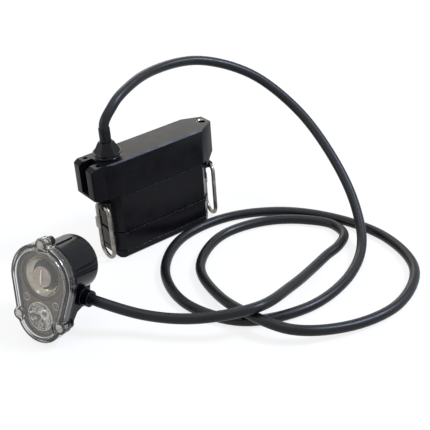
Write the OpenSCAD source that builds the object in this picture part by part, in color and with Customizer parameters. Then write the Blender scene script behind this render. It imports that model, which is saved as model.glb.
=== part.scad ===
// Miner's cap lamp: a belt battery, a headpiece and the cord between them.
// Millimetres. The origin is the centre of the battery's foot, +X runs along the
// battery to its pointed tip, +Z is up.

/* [Battery case] */
// Length of the case
case_l = 94; // [90:1:110]
// Thickness of the case
case_w = 32; // [30:1:38]
// Cut across the upright corners on the loops' side
case_corner = 6.5; // [4:0.5:7]
// Cut across the upright corners on the plain side
back_corner = 3.5; // [3:0.5:5]
// Wall of case, base cap and top cover
wall = 2.2; // [1.6:0.1:2.6]
// Height of the base cap
base_h = 24; // [18:1:30]
// Height of the case between base cap and cover
case_h = 33; // [28:1:44]
// Height of the top cover
cover_h = 30.5; // [28:0.5:38]
// Floor of the base cap
floor_t = 2.5; // [2:0.1:3.5]
// Roof of the top cover
roof_t = 2.5; // [2:0.1:3.5]
// How far the rim of the base cap stands out
rim_out = 1; // [0.4:0.1:1.4]
// Height of that rim
rim_h = 2.5; // [1.5:0.1:4]
// Height of the groove above the foot
groove_z = 6.4; // [4:0.2:9]
// Height of the groove itself
groove_h = 1; // [0.6:0.1:1.6]
// Depth of the groove
groove_d = 0.6; // [0.3:0.1:1]
// Bevel round the foot
foot_bevel = 2; // [0.5:0.1:3]
// Thickness of the gasket under the cover
gasket_t = 0.8; // [0.4:0.1:1.4]
// How far the gasket lies back from the outside
gasket_in = 0.5; // [0.2:0.1:0.8]

/* [Cells and board] */
// Diameter of a cell
cell_d = 18.4; // [18:0.1:18.6]
// Length of a cell
cell_l = 65; // [64:0.5:65.5]
// Space between two cells
cell_gap = 1; // [0.6:0.1:1.2]
// Height of each cell holder
holder_h = 6; // [4:0.5:9]
// Length of the protection board
board_l = 50; // [44:1:54]
// Width of the protection board
board_w = 20; // [18:0.5:24]
// Thickness of every circuit board
board_t = 1.6; // [1:0.1:2]

/* [Top cover] */
// How far the fork stands out past the case
fork_out = 15.5; // [14:0.5:19]
// Width across both prongs
fork_w = 28; // [25:0.5:30]
// Width of the slot between the prongs
slot_w = 10.6; // [9:0.2:12]
// Length of the slot
slot_l = 12.5; // [10:0.5:13]
// Height of the slot's floor above the seam
slot_rise = 5; // [4:0.5:9]
// Length of the bevel on each prong
prong_bevel = 4.2; // [2:0.2:5]
// Drop of that bevel
prong_drop = 2.5; // [1:0.1:3.5]
// Diameter of the hole in each prong
prong_hole_d = 3.8; // [3:0.1:4.2]
// How far the tip stands out past the case
tip_out = 13; // [11:0.5:16]
// Width of the blunt end of the tip
tip_w = 12; // [10:0.5:15]
// Diameter of the hole through the tip
tip_hole_d = 6; // [4:0.1:6.4]
// Diameter of the sunk mouth of that hole
tip_mouth_d = 9.2; // [7:0.1:9.4]
// Bevel along the top of the cover
top_bevel = 1.2; // [0.6:0.1:2]

/* [Battery gland and cord] */
// Diameter of the cord
cord_d = 8; // [7.2:0.1:8]
// From the fork end of the case to the middle of the gland
gland_in = 8.5; // [8.5:0.5:12]
// Diameter of the collar
collar_d = 18; // [16:0.5:20]
// Height of the collar
collar_h = 3.5; // [3:0.5:6]
// Hollow at the foot of the collar
collar_flare = 2.2; // [1:0.1:2.4]
// Diameter of the nut's round rim
nut_rim_d = 23; // [22:0.2:24]
// Thickness of that rim
nut_rim = 1.1; // [0.8:0.1:1.6]
// Across the flats of the nut, just above its rim
nut_foot = 18.6; // [17:0.2:19]
// Across the flats of the nut, at its top
nut_head = 10.8; // [10.6:0.1:12]
// Height of the nut with its rim
nut_h = 9.6; // [8:0.1:11]
// Diameter of the rubber sleeve over the cord
sleeve_d = 9.2; // [9:0.1:9.6]
// How far the sleeve stands out of the nut
sleeve_out = 11.5; // [9:0.5:13]

/* [Belt loops] */
// Diameter of the wire
wire_d = 3.4; // [2.8:0.1:3.6]
// Width of a loop, wire centre to wire centre
loop_w = 18; // [17:0.5:20]
// Bend radius of the two upper corners
loop_corner = 5; // [4:0.1:5.2]
// Depth of the loop's bar below the seam
loop_drop = 7.6; // [6.6:0.1:10]
// Gap between a hanging loop and the floor
loop_foot = 0.3; // [0.3:0.1:6]
// Loops' place across the case
loop_y = -5.3; // [-5.5:0.1:-3]
// From the case to the near loop's bar
near_off = 5.2; // [5.2:0.1:7]
// From the case to the far loop's bar
far_off = 7; // [6:0.1:8]
// Turn of the far loop
far_yaw = 10.4; // [0:0.1:12]
// Width of the lug on the bar
lug_w = 6; // [5:0.1:6.4]

/* [Headpiece face] */
// Radius of the upper, round part of the face
face_r = 26.6; // [26:0.1:28]
// Radius of the chin
chin_r = 20.6; // [20:0.1:22]
// From the main lens to the auxiliary lens
lens_pitch = 31; // [31:0.5:34]
// Depth of the clear cover's flange
flange_depth = 7.5; // [7:0.1:9]
// Thickness of the clear cover's side wall
clear_wall = 4.2; // [3:0.1:4.4]
// Thickness of the window
window_t = 2; // [1.6:0.1:2.4]
// Rise of the window in front of the flange
window_rise = 1.4; // [0.6:0.1:1.8]
// Radius of each screw boss on the face
boss_r = 5; // [4.4:0.1:5.2]
// Outer radius of the main reflector's lip
main_r = 17.9; // [17.4:0.1:18]
// Outer radius of the auxiliary lens
aux_r = 11.3; // [10.8:0.1:11.5]

/* [Headpiece body] */
// Diameter of the barrel
barrel_d = 42; // [41:0.2:42.4]
// Wall of the housing
head_wall = 2.3; // [1.8:0.1:2.4]
// Thickness of the housing's flange
head_flange = 1.8; // [1.6:0.1:3]
// From the housing's face back to the rear cap
seam_depth = 26.1; // [26:0.1:27]
// Depth of the rear cap
cap_depth = 9.9; // [9.6:0.1:12]
// Rounding of the rear cap
cap_round = 4.5; // [2:0.1:5]
// Width of the helmet hook
hook_w = 17; // [16:0.5:20]
// Gap between rear cap and hook
hook_gap = 3.7; // [3:0.1:5]
// Length of the hook below its bend
hook_l = 38; // [30:0.5:42]
// Diameter of the push button
button_d = 9.6; // [8:0.1:10]
// Travel of the push button
button_travel = 1.5; // [0.8:0.1:1.5]

/* [Hidden] */
$fn = 64;

// Colours
black = "#1b1a20";
rubber = "#202024";
steel = "#8f8a80";
bright = "#c8c6c0";
board_green = "#2f6b45";

// How far a cut runs past the face that it opens
cut = 1;
// Gap round a piece that moves
run_gap = 0.3;
// Gap round a piece that is pushed into a hole
fit_gap = 0.1;

// Heights in the battery
seam_z = base_h + case_h;
case_top = seam_z - gasket_t / 2;
cover_foot = seam_z + gasket_t / 2;
top_z = seam_z + cover_h;
case_end = case_l / 2;
case_side = case_w / 2;

// Screws that hold cover, case and base together
screw_r = 1.5;
screw_head_r = 2.7;
screw_head_h = 2;
column_r = 3.4;
column_sink = 0.4;
screw_reach = 8;
screw_grip = screw_reach - 1;
screw_recess = 0.5;

// Cells stand in a row along the case, with the screws between them
cell_pitch = cell_d + cell_gap;
screw_x = cell_pitch;
screw_y = case_side - wall - column_r + column_sink;
holder_floor = 1.2;
holder_wall = 1.1;
holder_r = cell_d / 2 + fit_gap + holder_wall;
cell_foot = floor_t + holder_floor;
cell_top = cell_foot + cell_l;
post_h = 3;
post_r = 1.5;
strap_t = 0.3;
strap_w = 7;

// Battery gland, all on one upright axis
gland_x = gland_in - case_end;
collar_top = top_z + collar_h;
pad_r = 8;
pad_h = 5;
spigot_r = 5.5;
neck_r = 5.9;
neck_h = 4;
seal_r = 4.9;
seal_h = 4.8;
cord_r = cord_d / 2;
nut_top = collar_top + nut_h;
nut_turn = 1;
sleeve_top = nut_top + sleeve_out;
tail_in = 9.5;

// Belt loops
wire_r = wire_d / 2;
bar_z = seam_z - loop_drop;
loop_h = bar_z - wire_r - loop_foot;
pin_gap = 0.05;
lug_r = wire_r + pin_gap + 1.25;
plate_t = 1.6;
plate_w = 8;
arm_half = 2.3;
plate_down = 11.2;
rivet_drops = [4.9, 8.9];
rivet_r = 1.1;
rivet_head_r = 1.9;
rivet_head_h = 0.7;
sleeve_on_wire_r = wire_r + 0.9;
sleeve_on_wire_out = 0.7;
sleeve_on_wire_l = 10;
sleeve_on_wire_drop = 13.4;

// The headpiece stands on the rear edge of its chin, leaning back against the pull of the cord
head_x = -139.8;
head_y = -65.6;
head_turn = -67.5;
head_lean = 12.5;
head_roll = -2.5;
head_foot = 0.25;

// Depths in the headpiece, from the plane of the lens rings; negative is behind it
plate_front = -1;
face_plate_t = 2;
flange_front = 2.7;
clear_back = flange_front - flange_depth;
face_seal_t = 0.6;
head_front = clear_back - face_seal_t;
flange_back = head_front - head_flange;
barrel_seam = head_front - seam_depth;
cap_back = barrel_seam - cap_depth;
barrel_r = barrel_d / 2;
bore_r = barrel_r - head_wall;
cap_floor = cap_back + head_wall;
cap_lip_t = 1.1;
cap_lip_h = 3;

// The face's outline lies a little lower than the lenses
face_drop = 1.4;
// The middle of the chin lies a little nearer to the round part than the auxiliary lens does
chin_lift = 1.8;
face_pitch = lens_pitch - chin_lift;
chin_y = -face_pitch - face_drop;
housing_in = 0.4;

// Screws of the clear cover, and the bosses that they go into
top_boss_y = face_r - 1.5;
side_boss_x = 18.7;
side_boss_y = chin_y - 3.4;
bosses = [[0, top_boss_y], [side_boss_x, side_boss_y], [-side_boss_x, side_boss_y]];
face_screw_head_r = 3;
face_screw_head_h = 2.2;
face_screw_l = 11;
face_screw_hole = 4;
housing_boss_r = boss_r - 1.5;
housing_boss_l = 4.6;
rib_half = 1.9;
rib_rise = 1;

// Depth of the push switch; the boards lie behind it
switch_z = -21;

// Lights
aux_at = [0, -lens_pitch];
indicator_at = [[13.1, -19.1], [-13.1, -19.1]];
indicator_r = 2;
indicator_sink = 0.8;
indicator_l = 4;
lip_front = -1.8;
lip_shoulder = 0.8;
ring_front = -0.2;
cup_r = main_r - 1.9;
cup_neck_r = 8.6;
cup_depth = 13;
cup_wall = 0.9;
main_hole_r = main_r + fit_gap;
aux_hole_r = aux_r - 0.9;
skirt_wall = 1.2;
skirt_back = plate_front - 8;
aux_board_r = aux_hole_r + skirt_wall;
lens_back = -8;
led_board_front = switch_z - 6.5;
led_board_back = led_board_front - board_t;
sink_h = 5.4;
sink_back = led_board_back - sink_h;
led_board_r = bore_r - cap_lip_t - 1.1;
sink_r = led_board_r + 0.6;
sink_post_r = sink_r - 1.5;
sink_post_half = 1.5;
main_lens_r = 7.8;
main_lens_front = -1.4;
lens_dome = 1.2;

// Lower part of the housing and its cord gland
lower_half = 15.4;
lower_wall = 2;
lower_top = -8;
lower_back = -33.5;
head_gland_y = -19.5;
head_gland_z = -26;
ring_d = 14.5;
ring_l = 4.2;
head_nut_d = 12.5;
head_nut_l = 5.4;
ring_x = lower_half;
nut_x = ring_x + ring_l;
exit_x = nut_x + head_nut_l;
head_spigot_r = 4.9;
head_spigot_l = 2;
head_neck_r = 5.2;
head_neck_l = 3.4;
head_seal_x = nut_x + head_neck_l + 1;
tail_x = exit_x - 12.8;

// Push switch on the barrel's other side
bush_r = 7.2;
bush_neck_r = 6.2;
bush_seat = barrel_r - 0.9;
bush_out = 3;
bush_in = bore_r - 1.1;
button_r = button_d / 2;
button_bore_r = button_r + run_gap;
button_out = bush_seat + bush_out + button_travel + 0.4;
button_flange_r = button_bore_r + 0.9;
button_flange_t = 1;
button_foot = bush_in - 0.1 - button_flange_t;
plunger_gap = 0.3;
plunger_r = 1.2;
plunger_l = 1;
tact_h = 2.4;
tact_w = 5;
plunger_end = button_foot - button_travel - plunger_gap;
tact_front = plunger_end - plunger_l;
tact_back = tact_front - tact_h;

// Helmet hook: a strip folded twice
strip_t = 1.6;
hook_top = 8;
hook_foot = -4;
hook_screws_at = [[-5.2, 3], [5.2, 3]];
hook_screw_r = 1.5;
hook_screw_head_r = 2.7;
hook_screw_l = 3.6;
hook_pad_r = 3;
hook_pad_h = 1.8;

// ---- Helpers ---------------------------------------------------------------

// Outline of the case grown by a distance, with its corner cuts kept parallel
function plan(grow) =
    let (x = case_end + grow,
        y = case_side + grow,
        front = case_corner + grow * (2 - sqrt(2)),
        back = back_corner + grow * (2 - sqrt(2)))
    [[x - front, y], [x, y - front], [x, front - y], [x - front, -y],
        [front - x, -y], [-x, front - y], [-x, y - back], [back - x, y]];

// Arc that rounds the corner b between a and c
function corner_arc(a, b, c, r, steps = 4) =
    let (u = (a - b) / norm(a - b),
        v = (c - b) / norm(c - b),
        half = acos(u * v) / 2,
        reach = r / tan(half),
        middle = b + (u + v) / norm(u + v) * r / sin(half),
        from = b + u * reach - middle,
        to = b + v * reach - middle,
        start = atan2(from.y, from.x),
        sweep = (atan2(to.y, to.x) - start + 540) % 360 - 180)
    [for (i = [0:steps]) middle + r * [cos(start + sweep * i / steps), sin(start + sweep * i / steps)]];

// Outline from corners that each have a radius: [x, y, radius]
function rounded(corners) =
    let (n = len(corners))
    [for (i = [0:n - 1])
        let (a = corners[(i + n - 1) % n], b = corners[i], c = corners[(i + 1) % n])
        each corner_arc([a.x, a.y], [b.x, b.y], [c.x, c.y], b.z)];

// Outline of the headpiece's face grown by a distance: two arcs and their tangents
function egg(grow, steps = 20) =
    let (tilt = asin((face_r - chin_r) / face_pitch),
        big = face_r + grow,
        small = chin_r + grow)
    concat(
        [for (i = [0:steps]) let (a = -tilt + (180 + 2 * tilt) * i / steps)
            big * [cos(a), sin(a)] - [0, face_drop]],
        [for (i = [0:steps]) let (a = 180 + tilt + (180 - 2 * tilt) * i / steps)
            small * [cos(a), sin(a)] + [0, chin_y]]);

// Outline moved inwards all round by a distance; its points run counter-clockwise
function shrunk(points, inset) =
    let (n = len(points))
    [for (i = [0:n - 1])
        let (a = points[(i + n - 1) % n], b = points[i], c = points[(i + 1) % n],
            u = (b - a) / norm(b - a),
            v = (c - b) / norm(c - b),
            side = [-u.y - v.y, u.x + v.x])
        b + side * inset / (1 + u * v)];

function turned_x(p, a) = [p.x, p.y * cos(a) - p.z * sin(a), p.y * sin(a) + p.z * cos(a)];
function turned_z(p, a) = [p.x * cos(a) - p.y * sin(a), p.x * sin(a) + p.y * cos(a), p.z];

// Direction in the headpiece's frame, given in the part's frame
function head_way(p) = turned_z(turned_x(turned_z(p, head_roll), 90 - head_lean), head_turn);

// The lowest point is on the rear edge of the chin
head_up = [head_way([1, 0, 0]).z, head_way([0, 1, 0]).z, head_way([0, 0, 1]).z];
chin_reach = (chin_r - housing_in) * norm([head_up.x, head_up.y]);
chin_low = chin_y * head_up.y - chin_reach + flange_back * head_up.z;
head_z = head_foot - chin_low;

// Point in the headpiece's frame, given in the part's frame
function head_point(p) = [head_x, head_y, head_z] + head_way(p);

module at_head() {
    translate([head_x, head_y, head_z])
        rotate([0, 0, head_turn])
            rotate([90 - head_lean, 0, 0])
                rotate([0, 0, head_roll])
                    children();
}

module case_prism(grow, from, to) {
    translate([0, 0, from]) linear_extrude(to - from) polygon(plan(grow));
}

module egg_prism(grow, from, to) {
    translate([0, 0, from]) linear_extrude(to - from) polygon(egg(grow));
}

// Round bar between two depths at a place on the face
module face_bar(at, r, from, to) {
    translate([at.x, at.y, from]) cylinder(r = r, h = to - from);
}

// Round bar along the headpiece's x axis
module side_bar(y, z, r, from, to) {
    translate([from, y, z]) rotate([0, 90, 0]) cylinder(r = r, h = to - from);
}

// Extrudes an outline in x and z across the battery
module across(width) {
    translate([0, width / 2, 0]) rotate([90, 0, 0]) linear_extrude(width) children();
}

// Extrudes an outline in y and z along the battery
module along(from, to) {
    translate([from, 0, 0]) rotate([90, 0, 90]) linear_extrude(to - from) children();
}

module at_screws() {
    for (x = [-screw_x, screw_x], y = [-screw_y, screw_y]) translate([x, y, 0]) children();
}

module at_cell(i) {
    translate([(i - 2.5) * cell_pitch, 0, 0]) children();
}

module at_gland() {
    translate([gland_x, 0, 0]) children();
}

// ---- Battery ---------------------------------------------------------------

module foot_profile(half) {
    polygon([[-half + foot_bevel, 0], [half - foot_bevel, 0], [half, foot_bevel],
        [half, base_h], [-half, base_h], [-half, foot_bevel]]);
}

module screw_column(from, to) {
    translate([0, 0, from]) cylinder(r = column_r, h = to - from);
}

module base_cap() {
    color(black) difference() {
        union() {
            difference() {
                union() {
                    intersection() {
                        case_prism(0, 0, base_h);
                        across(case_w) foot_profile(case_end);
                        along(-case_end, case_end) foot_profile(case_side);
                    }
                    case_prism(rim_out, base_h - rim_h, base_h);
                }
                case_prism(-wall, floor_t, base_h + cut);
                difference() {
                    case_prism(cut, groove_z, groove_z + groove_h);
                    case_prism(-groove_d, groove_z - cut, groove_z + groove_h + cut);
                }
            }
            at_screws() screw_column(floor_t - cut, base_h);
        }
        at_screws() translate([0, 0, -cut]) cylinder(r = screw_r + fit_gap, h = base_h + 2 * cut);
        at_screws() translate([0, 0, -cut])
            cylinder(r = screw_head_r + fit_gap, h = screw_recess + screw_head_h + cut);
    }
}

module battery_case() {
    color(black) difference() {
        union() {
            difference() {
                case_prism(0, base_h, case_top);
                case_prism(-wall, base_h - cut, case_top + cut);
            }
            at_screws() screw_column(base_h, case_top);
        }
        at_screws() translate([0, 0, base_h - cut]) cylinder(r = screw_r + fit_gap, h = case_h + 2 * cut);
    }
}

module case_gasket() {
    color(rubber) difference() {
        case_prism(-gasket_in, case_top, cover_foot);
        case_prism(-wall, case_top - cut, cover_foot + cut);
    }
}

// Cover seen from above, tip to the right; each point carries its rounding
tip_round = 3.5;
tip_root = 4.8;
tip_root_back = 7.6;
tip_root_round = 5;
fork_root = 8.8;
fork_shoulder = 3.5;
shoulder_round = 8;
prong_round = 1.8;
cover_plan = let (f = case_end + fork_out, t = case_end + tip_out, side = case_side)
    rounded([
        [t, tip_w / 2, tip_round],
        [case_end - tip_root_back, side, tip_root_round],
        [fork_root - case_end, side, shoulder_round],
        [-case_end - fork_shoulder, fork_w / 2, shoulder_round],
        [-f, fork_w / 2, prong_round],
        [-f, -fork_w / 2, prong_round],
        [-case_end - fork_shoulder, -fork_w / 2, shoulder_round],
        [fork_root - case_end, -side, shoulder_round],
        [case_end - tip_root, -side, tip_root_round],
        [t, -tip_w / 2, tip_round]]);

// Cover seen from the side: fork with its bevel on the left, tip with its wedge on the right
fork_rise = 3;
wedge_low = 5;
wedge_run = 3;
wedge_rise = 4;
tip_edge = 1;
cover_side_view = let (f = case_end + fork_out, t = case_end + tip_out)
    [[-f, seam_z + fork_rise], [-case_end, cover_foot], [case_end, cover_foot],
        [case_end, seam_z - wedge_low], [case_end + wedge_run, seam_z - wedge_low + wedge_run / 2],
        [t, seam_z + wedge_rise], [t, top_z - tip_edge], [t - tip_edge, top_z],
        [prong_bevel - f, top_z], [-f, top_z - prong_drop]];

// Cover seen from the end: upright to the crease, leaning in above it, bevelled on top
crease_rise = 17;
lean_in = 0.7;
cover_end_view = let (s = case_side, low = seam_z - wedge_low - cut, crease = seam_z + crease_rise)
    [[-s, low], [s, low], [s, crease], [s - lean_in, top_z - top_bevel], [s - lean_in - top_bevel, top_z],
        [lean_in + top_bevel - s, top_z], [lean_in - s, top_z - top_bevel], [-s, crease]];

// Holes in the prongs and in the tip, and how deep the cover's screws may go
prong_hole_in = 9;
prong_hole_depth = 18;
tip_hole_in = 5.5;
tip_mouth_depth = 1.6;
screw_hole = screw_reach + 1.5;
screw_column_h = screw_reach + 2;

module top_cover() {
    fork_end = case_end + fork_out;
    reach = case_end + max(fork_out, tip_out) + cut;
    slot_end = slot_l - fork_end;
    color(black) difference() {
        union() {
            difference() {
                intersection() {
                    linear_extrude(top_z) polygon(cover_plan);
                    across(case_w) polygon(cover_side_view);
                    along(-reach, reach) polygon(cover_end_view);
                }
                case_prism(-wall, cover_foot - cut, top_z - roof_t);
            }
            at_screws() screw_column(cover_foot, cover_foot + screw_column_h);
            intersection() {
                at_gland() translate([0, 0, top_z - roof_t - pad_h]) cylinder(r = pad_r, h = pad_h + cut);
                case_prism(-wall / 2, cover_foot, top_z - roof_t / 2);
            }
        }
        at_screws() translate([0, 0, cover_foot - cut]) cylinder(r = screw_r, h = screw_hole + cut);
        at_gland() translate([0, 0, top_z - roof_t - pad_h - cut])
            cylinder(r = spigot_r, h = roof_t + pad_h + 2 * cut);
        translate([-reach - cut, -slot_w / 2, seam_z + slot_rise])
            cube([slot_end + reach + cut, slot_w, cover_h]);
        for (side = [-1, 1])
            translate([prong_hole_in - fork_end, side * (slot_w + fork_w) / 4, top_z - prong_hole_depth])
                cylinder(r = prong_hole_d / 2, h = prong_hole_depth + cut);
        translate([case_end + tip_out - tip_hole_in, 0, top_z]) {
            translate([0, 0, -cover_h - wedge_low])
                cylinder(r = tip_hole_d / 2, h = cover_h + wedge_low + cut);
            translate([0, 0, -tip_mouth_depth]) cylinder(r = tip_mouth_d / 2, h = tip_mouth_depth + cut);
        }
    }
}

module case_screws() {
    color(steel) at_screws() {
        translate([0, 0, screw_recess]) cylinder(r = screw_head_r, h = screw_head_h);
        translate([0, 0, screw_recess]) cylinder(r = screw_r, h = cover_foot + screw_grip - screw_recess);
    }
}

// Row outline round the cells, notched for the screw columns
module holder_plan() {
    half = 1.5 * cell_pitch;
    difference() {
        union() {
            square([2 * half, 2 * holder_r], center = true);
            for (x = [-half, half]) translate([x, 0]) circle(r = holder_r);
        }
        for (x = [-screw_x, screw_x], y = [-screw_y, screw_y])
            translate([x, y]) circle(r = column_r + fit_gap);
    }
}

module holder_lower() {
    color("#2b2b2f") difference() {
        translate([0, 0, floor_t]) linear_extrude(holder_h) holder_plan();
        for (i = [1:4]) at_cell(i) translate([0, 0, cell_foot])
            cylinder(r = cell_d / 2 + fit_gap, h = holder_h);
    }
}

// Two posts between the middle cells carry the board
module at_posts() {
    for (y = [-1, 1]) translate([0, y * (holder_r - post_r - holder_wall), 0]) children();
}

module holder_upper() {
    color("#2b2b2f") {
        difference() {
            translate([0, 0, cell_top - holder_h]) linear_extrude(holder_h) holder_plan();
            for (i = [1:4]) at_cell(i) translate([0, 0, cell_top - holder_h - cut])
                cylinder(r = cell_d / 2 + fit_gap, h = holder_h + 2 * cut);
        }
        at_posts() translate([0, 0, cell_top - cut]) cylinder(r = post_r, h = post_h + cut);
    }
}

module cell(i) {
    cap_r = 3;
    cap_h = 1;
    color("#3d6f9e") at_cell(i) {
        translate([0, 0, cell_foot]) cylinder(r = cell_d / 2, h = cell_l - cap_h);
        translate([0, 0, cell_top - cap_h]) cylinder(r = cap_r, h = cap_h);
    }
}

module cell_straps() {
    half = cell_pitch / 2 + 3;
    color(bright) for (x = [-cell_pitch, cell_pitch])
        translate([x - half, -strap_w / 2, cell_top]) cube([2 * half, strap_w, strap_t]);
}

module protection_board() {
    board_z = cell_top + post_h;
    chip = [6, 5, 1.2];
    chip_pitch = 10;
    color(board_green) translate([-board_l / 2, -board_w / 2, board_z]) cube([board_l, board_w, board_t]);
    color("#17171a") for (i = [-1.5:1.5])
        translate([i * chip_pitch - chip.x / 2, -chip.y / 2, board_z + board_t]) cube(chip);
}

// ---- Battery gland ---------------------------------------------------------

module gland_collar() {
    collar_r = collar_d / 2;
    side = [for (i = [0:6]) let (a = 270 - 15 * i)
        [collar_r + collar_flare + collar_flare * cos(a), top_z + collar_flare + collar_flare * sin(a)]];
    color(black) at_gland() difference() {
        union() {
            rotate_extrude() polygon(concat([[0, top_z]], side, [[collar_r, collar_top - 0.5],
                [collar_r - 0.5, collar_top], [0, collar_top]]));
            translate([0, 0, top_z - roof_t - pad_h + 0.5]) cylinder(r = spigot_r, h = roof_t + pad_h);
            translate([0, 0, collar_top - cut]) cylinder(r = neck_r, h = neck_h + cut);
        }
        translate([0, 0, top_z - 2 * pad_h]) cylinder(r = cord_r + fit_gap, h = 4 * pad_h);
        translate([0, 0, collar_top + neck_h - seal_h]) cylinder(r = seal_r, h = seal_h + cut);
    }
}

module gland_seal() {
    color(rubber) at_gland() translate([0, 0, collar_top + neck_h - seal_h]) difference() {
        cylinder(r = seal_r, h = seal_h - 0.2);
        translate([0, 0, -cut]) cylinder(r = cord_r, h = seal_h + 2 * cut);
    }
}

// Pair of opposite sides of the nut
module nut_slab(turn) {
    foot = nut_foot / 2;
    head = nut_head / 2;
    low = collar_top + nut_rim / 2;
    edge = collar_top + nut_rim;
    rotate([0, 0, turn]) across(2 * nut_foot) polygon([[-foot, low], [foot, low], [foot, edge],
        [head, nut_top], [-head, nut_top], [-foot, edge]]);
}

module gland_nut() {
    color(black) at_gland() difference() {
        union() {
            translate([0, 0, collar_top]) cylinder(r = nut_rim_d / 2, h = nut_rim);
            rotate([0, 0, nut_turn]) intersection() {
                nut_slab(0);
                nut_slab(60);
                nut_slab(120);
            }
        }
        translate([0, 0, collar_top - cut]) cylinder(r = neck_r + fit_gap, h = neck_h + cut + 0.2);
        translate([0, 0, collar_top]) cylinder(r = sleeve_d / 2 + fit_gap, h = nut_h + cut);
    }
}

module gland_sleeve() {
    foot = collar_top + neck_h - 0.2;
    color(rubber) at_gland() difference() {
        translate([0, 0, foot]) cylinder(r = sleeve_d / 2, h = sleeve_top - foot);
        translate([0, 0, foot - cut]) cylinder(r = cord_r, h = sleeve_top - foot + 2 * cut);
    }
}

module cord_end_battery() {
    tail = top_z - tail_in;
    color(rubber) at_gland() translate([0, 0, tail]) cylinder(r = cord_r, h = sleeve_top - tail);
}

// ---- Belt loops ------------------------------------------------------------

// Bracket on a case end: a riveted plate, an arm and the lug round the loop's bar
module loop_bracket(off, yaw) {
    color(black) difference() {
        union() {
            translate([0, -plate_w / 2, bar_z - plate_down]) cube([plate_t, plate_w, plate_down + arm_half]);
            translate([0, -lug_w / 2, bar_z - arm_half]) cube([off, lug_w, 2 * arm_half]);
            translate([off, 0, bar_z]) rotate([0, 0, yaw]) rotate([90, 0, 0])
                cylinder(r = lug_r, h = lug_w, center = true);
        }
        translate([off, 0, bar_z]) rotate([0, 0, yaw]) rotate([90, 0, 0])
            cylinder(r = wire_r + pin_gap, h = 4 * lug_w, center = true);
        for (drop = rivet_drops)
            translate([-cut, 0, bar_z - drop]) rotate([0, 90, 0])
                cylinder(r = rivet_r, h = plate_t + 2 * cut);
    }
}

module at_near_end() {
    translate([-case_end, loop_y, 0]) mirror([1, 0, 0]) children();
}

module at_far_end() {
    translate([case_end, loop_y, 0]) children();
}

module rivet_pair() {
    for (drop = rivet_drops) translate([0, 0, bar_z - drop]) rotate([0, 90, 0]) {
        cylinder(r = rivet_r, h = plate_t);
        translate([0, 0, plate_t]) cylinder(r1 = rivet_head_r, r2 = rivet_r, h = rivet_head_h);
    }
}

module loop_bracket_near() {
    at_near_end() loop_bracket(near_off, 0);
}

module loop_bracket_far() {
    at_far_end() loop_bracket(far_off, -far_yaw);
}

module bracket_rivets() {
    color(bright) {
        at_near_end() rivet_pair();
        at_far_end() rivet_pair();
    }
}

// Part of a ring of wire about the origin, from one angle over another
module wire_arc(radius, start, sweep) {
    rotate([0, 0, start]) rotate_extrude(angle = sweep) translate([radius, 0]) circle(r = wire_r, $fn = 32);
}

// Closed loop of wire in the plane of y and z, with its bar's middle at the origin
module belt_loop() {
    half = loop_w / 2;
    bar_half = half - loop_corner;
    round_y = half - loop_h;
    color(steel) rotate([90, 0, 90]) {
        translate([-bar_half, 0, 0]) rotate([0, 90, 0]) cylinder(r = wire_r, h = 2 * bar_half, $fn = 32);
        translate([bar_half, -loop_corner, 0]) wire_arc(loop_corner, 0, 90);
        translate([-bar_half, -loop_corner, 0]) wire_arc(loop_corner, 90, 90);
        for (x = [-half, half])
            translate([x, -loop_corner, 0]) rotate([90, 0, 0])
                cylinder(r = wire_r, h = -loop_corner - round_y, $fn = 32);
        translate([0, round_y, 0]) wire_arc(half, 180, 180);
        translate([half + sleeve_on_wire_out, -sleeve_on_wire_drop, 0]) rotate([90, 0, 0])
            cylinder(r = sleeve_on_wire_r, h = sleeve_on_wire_l, $fn = 32);
    }
}

module belt_loop_near() {
    translate([-case_end - near_off, loop_y, bar_z]) belt_loop();
}

module belt_loop_far() {
    translate([case_end + far_off, loop_y, bar_z]) rotate([0, 0, -far_yaw]) belt_loop();
}

// ---- Cord ------------------------------------------------------------------

// Route of the middle of the cord, from the battery's gland to the headpiece's
cord_low = cord_r + 0.1;
cord_start = [gland_x, 0, sleeve_top];
cord_finish = head_point([exit_x, head_gland_y, head_gland_z]);
cord_route = [
    cord_start, [-26.6, 2.9, 126.1], [-3, 12.6, 133.1], [31.5, 24.5, 133.7], [74.9, 25, 128.4],
    [113.2, 5.5, 110.7], [132.4, -30.9, 83.6], [133.9, -71.5, 54.9], [124, -111, 26.5],
    [105.9, -138.4, 9.5], [65.4, -163.8, 4.1], [16.5, -171.4, 4.1], [-28.6, -152.1, 4.1],
    [-46.9, -106.5, 4.1], [-33.4, -59.2, 4.1], [5.4, -27.6, 4.1], [53.7, -26.5, 4.1],
    [95.9, -52.1, 4.1], [121.4, -94.6, 4.1], [129, -143.6, 4.1], [111.9, -189.3, 4.1],
    [67.9, -213.5, 4.1], [18.9, -208.7, 6], [-15.9, -189.4, 11], [-28, -156.7, 13.1],
    [-24.7, -117.8, 7.1], [-7.2, -71, 4.1], [35, -47, 4.1], [77.4, -56.2, 4.1], [100.5, -76.3, 4.1],
    [112.1, -99, 4.1], [108, -115.6, 4.1], [92.5, -125.4, 4.1], [75.5, -129.4, 4.1],
    [60.2, -134.5, 4.7], [18.4, -152, 12.7], [-26.8, -165, 21.9], [-65.5, -137.8, 16.7],
    [-87.5, -111.2, 16.8],
    head_point([exit_x + 8, head_gland_y, head_gland_z]), cord_finish];
cord_last = len(cord_route) - 1;
cord_sides = 12;

// Way of the route at a point: square to the glands at its ends
function route_way(i) =
    i == 0 ? [0, 0, 1] :
    i == cord_last ? -head_way([1, 0, 0]) :
    let (back = cord_route[i] - cord_route[i - 1],
        on = cord_route[i + 1] - cord_route[i],
        d0 = norm(back),
        d1 = norm(on))
    (on / d1 * d0 + back / d0 * d1) / (d0 + d1);

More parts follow.
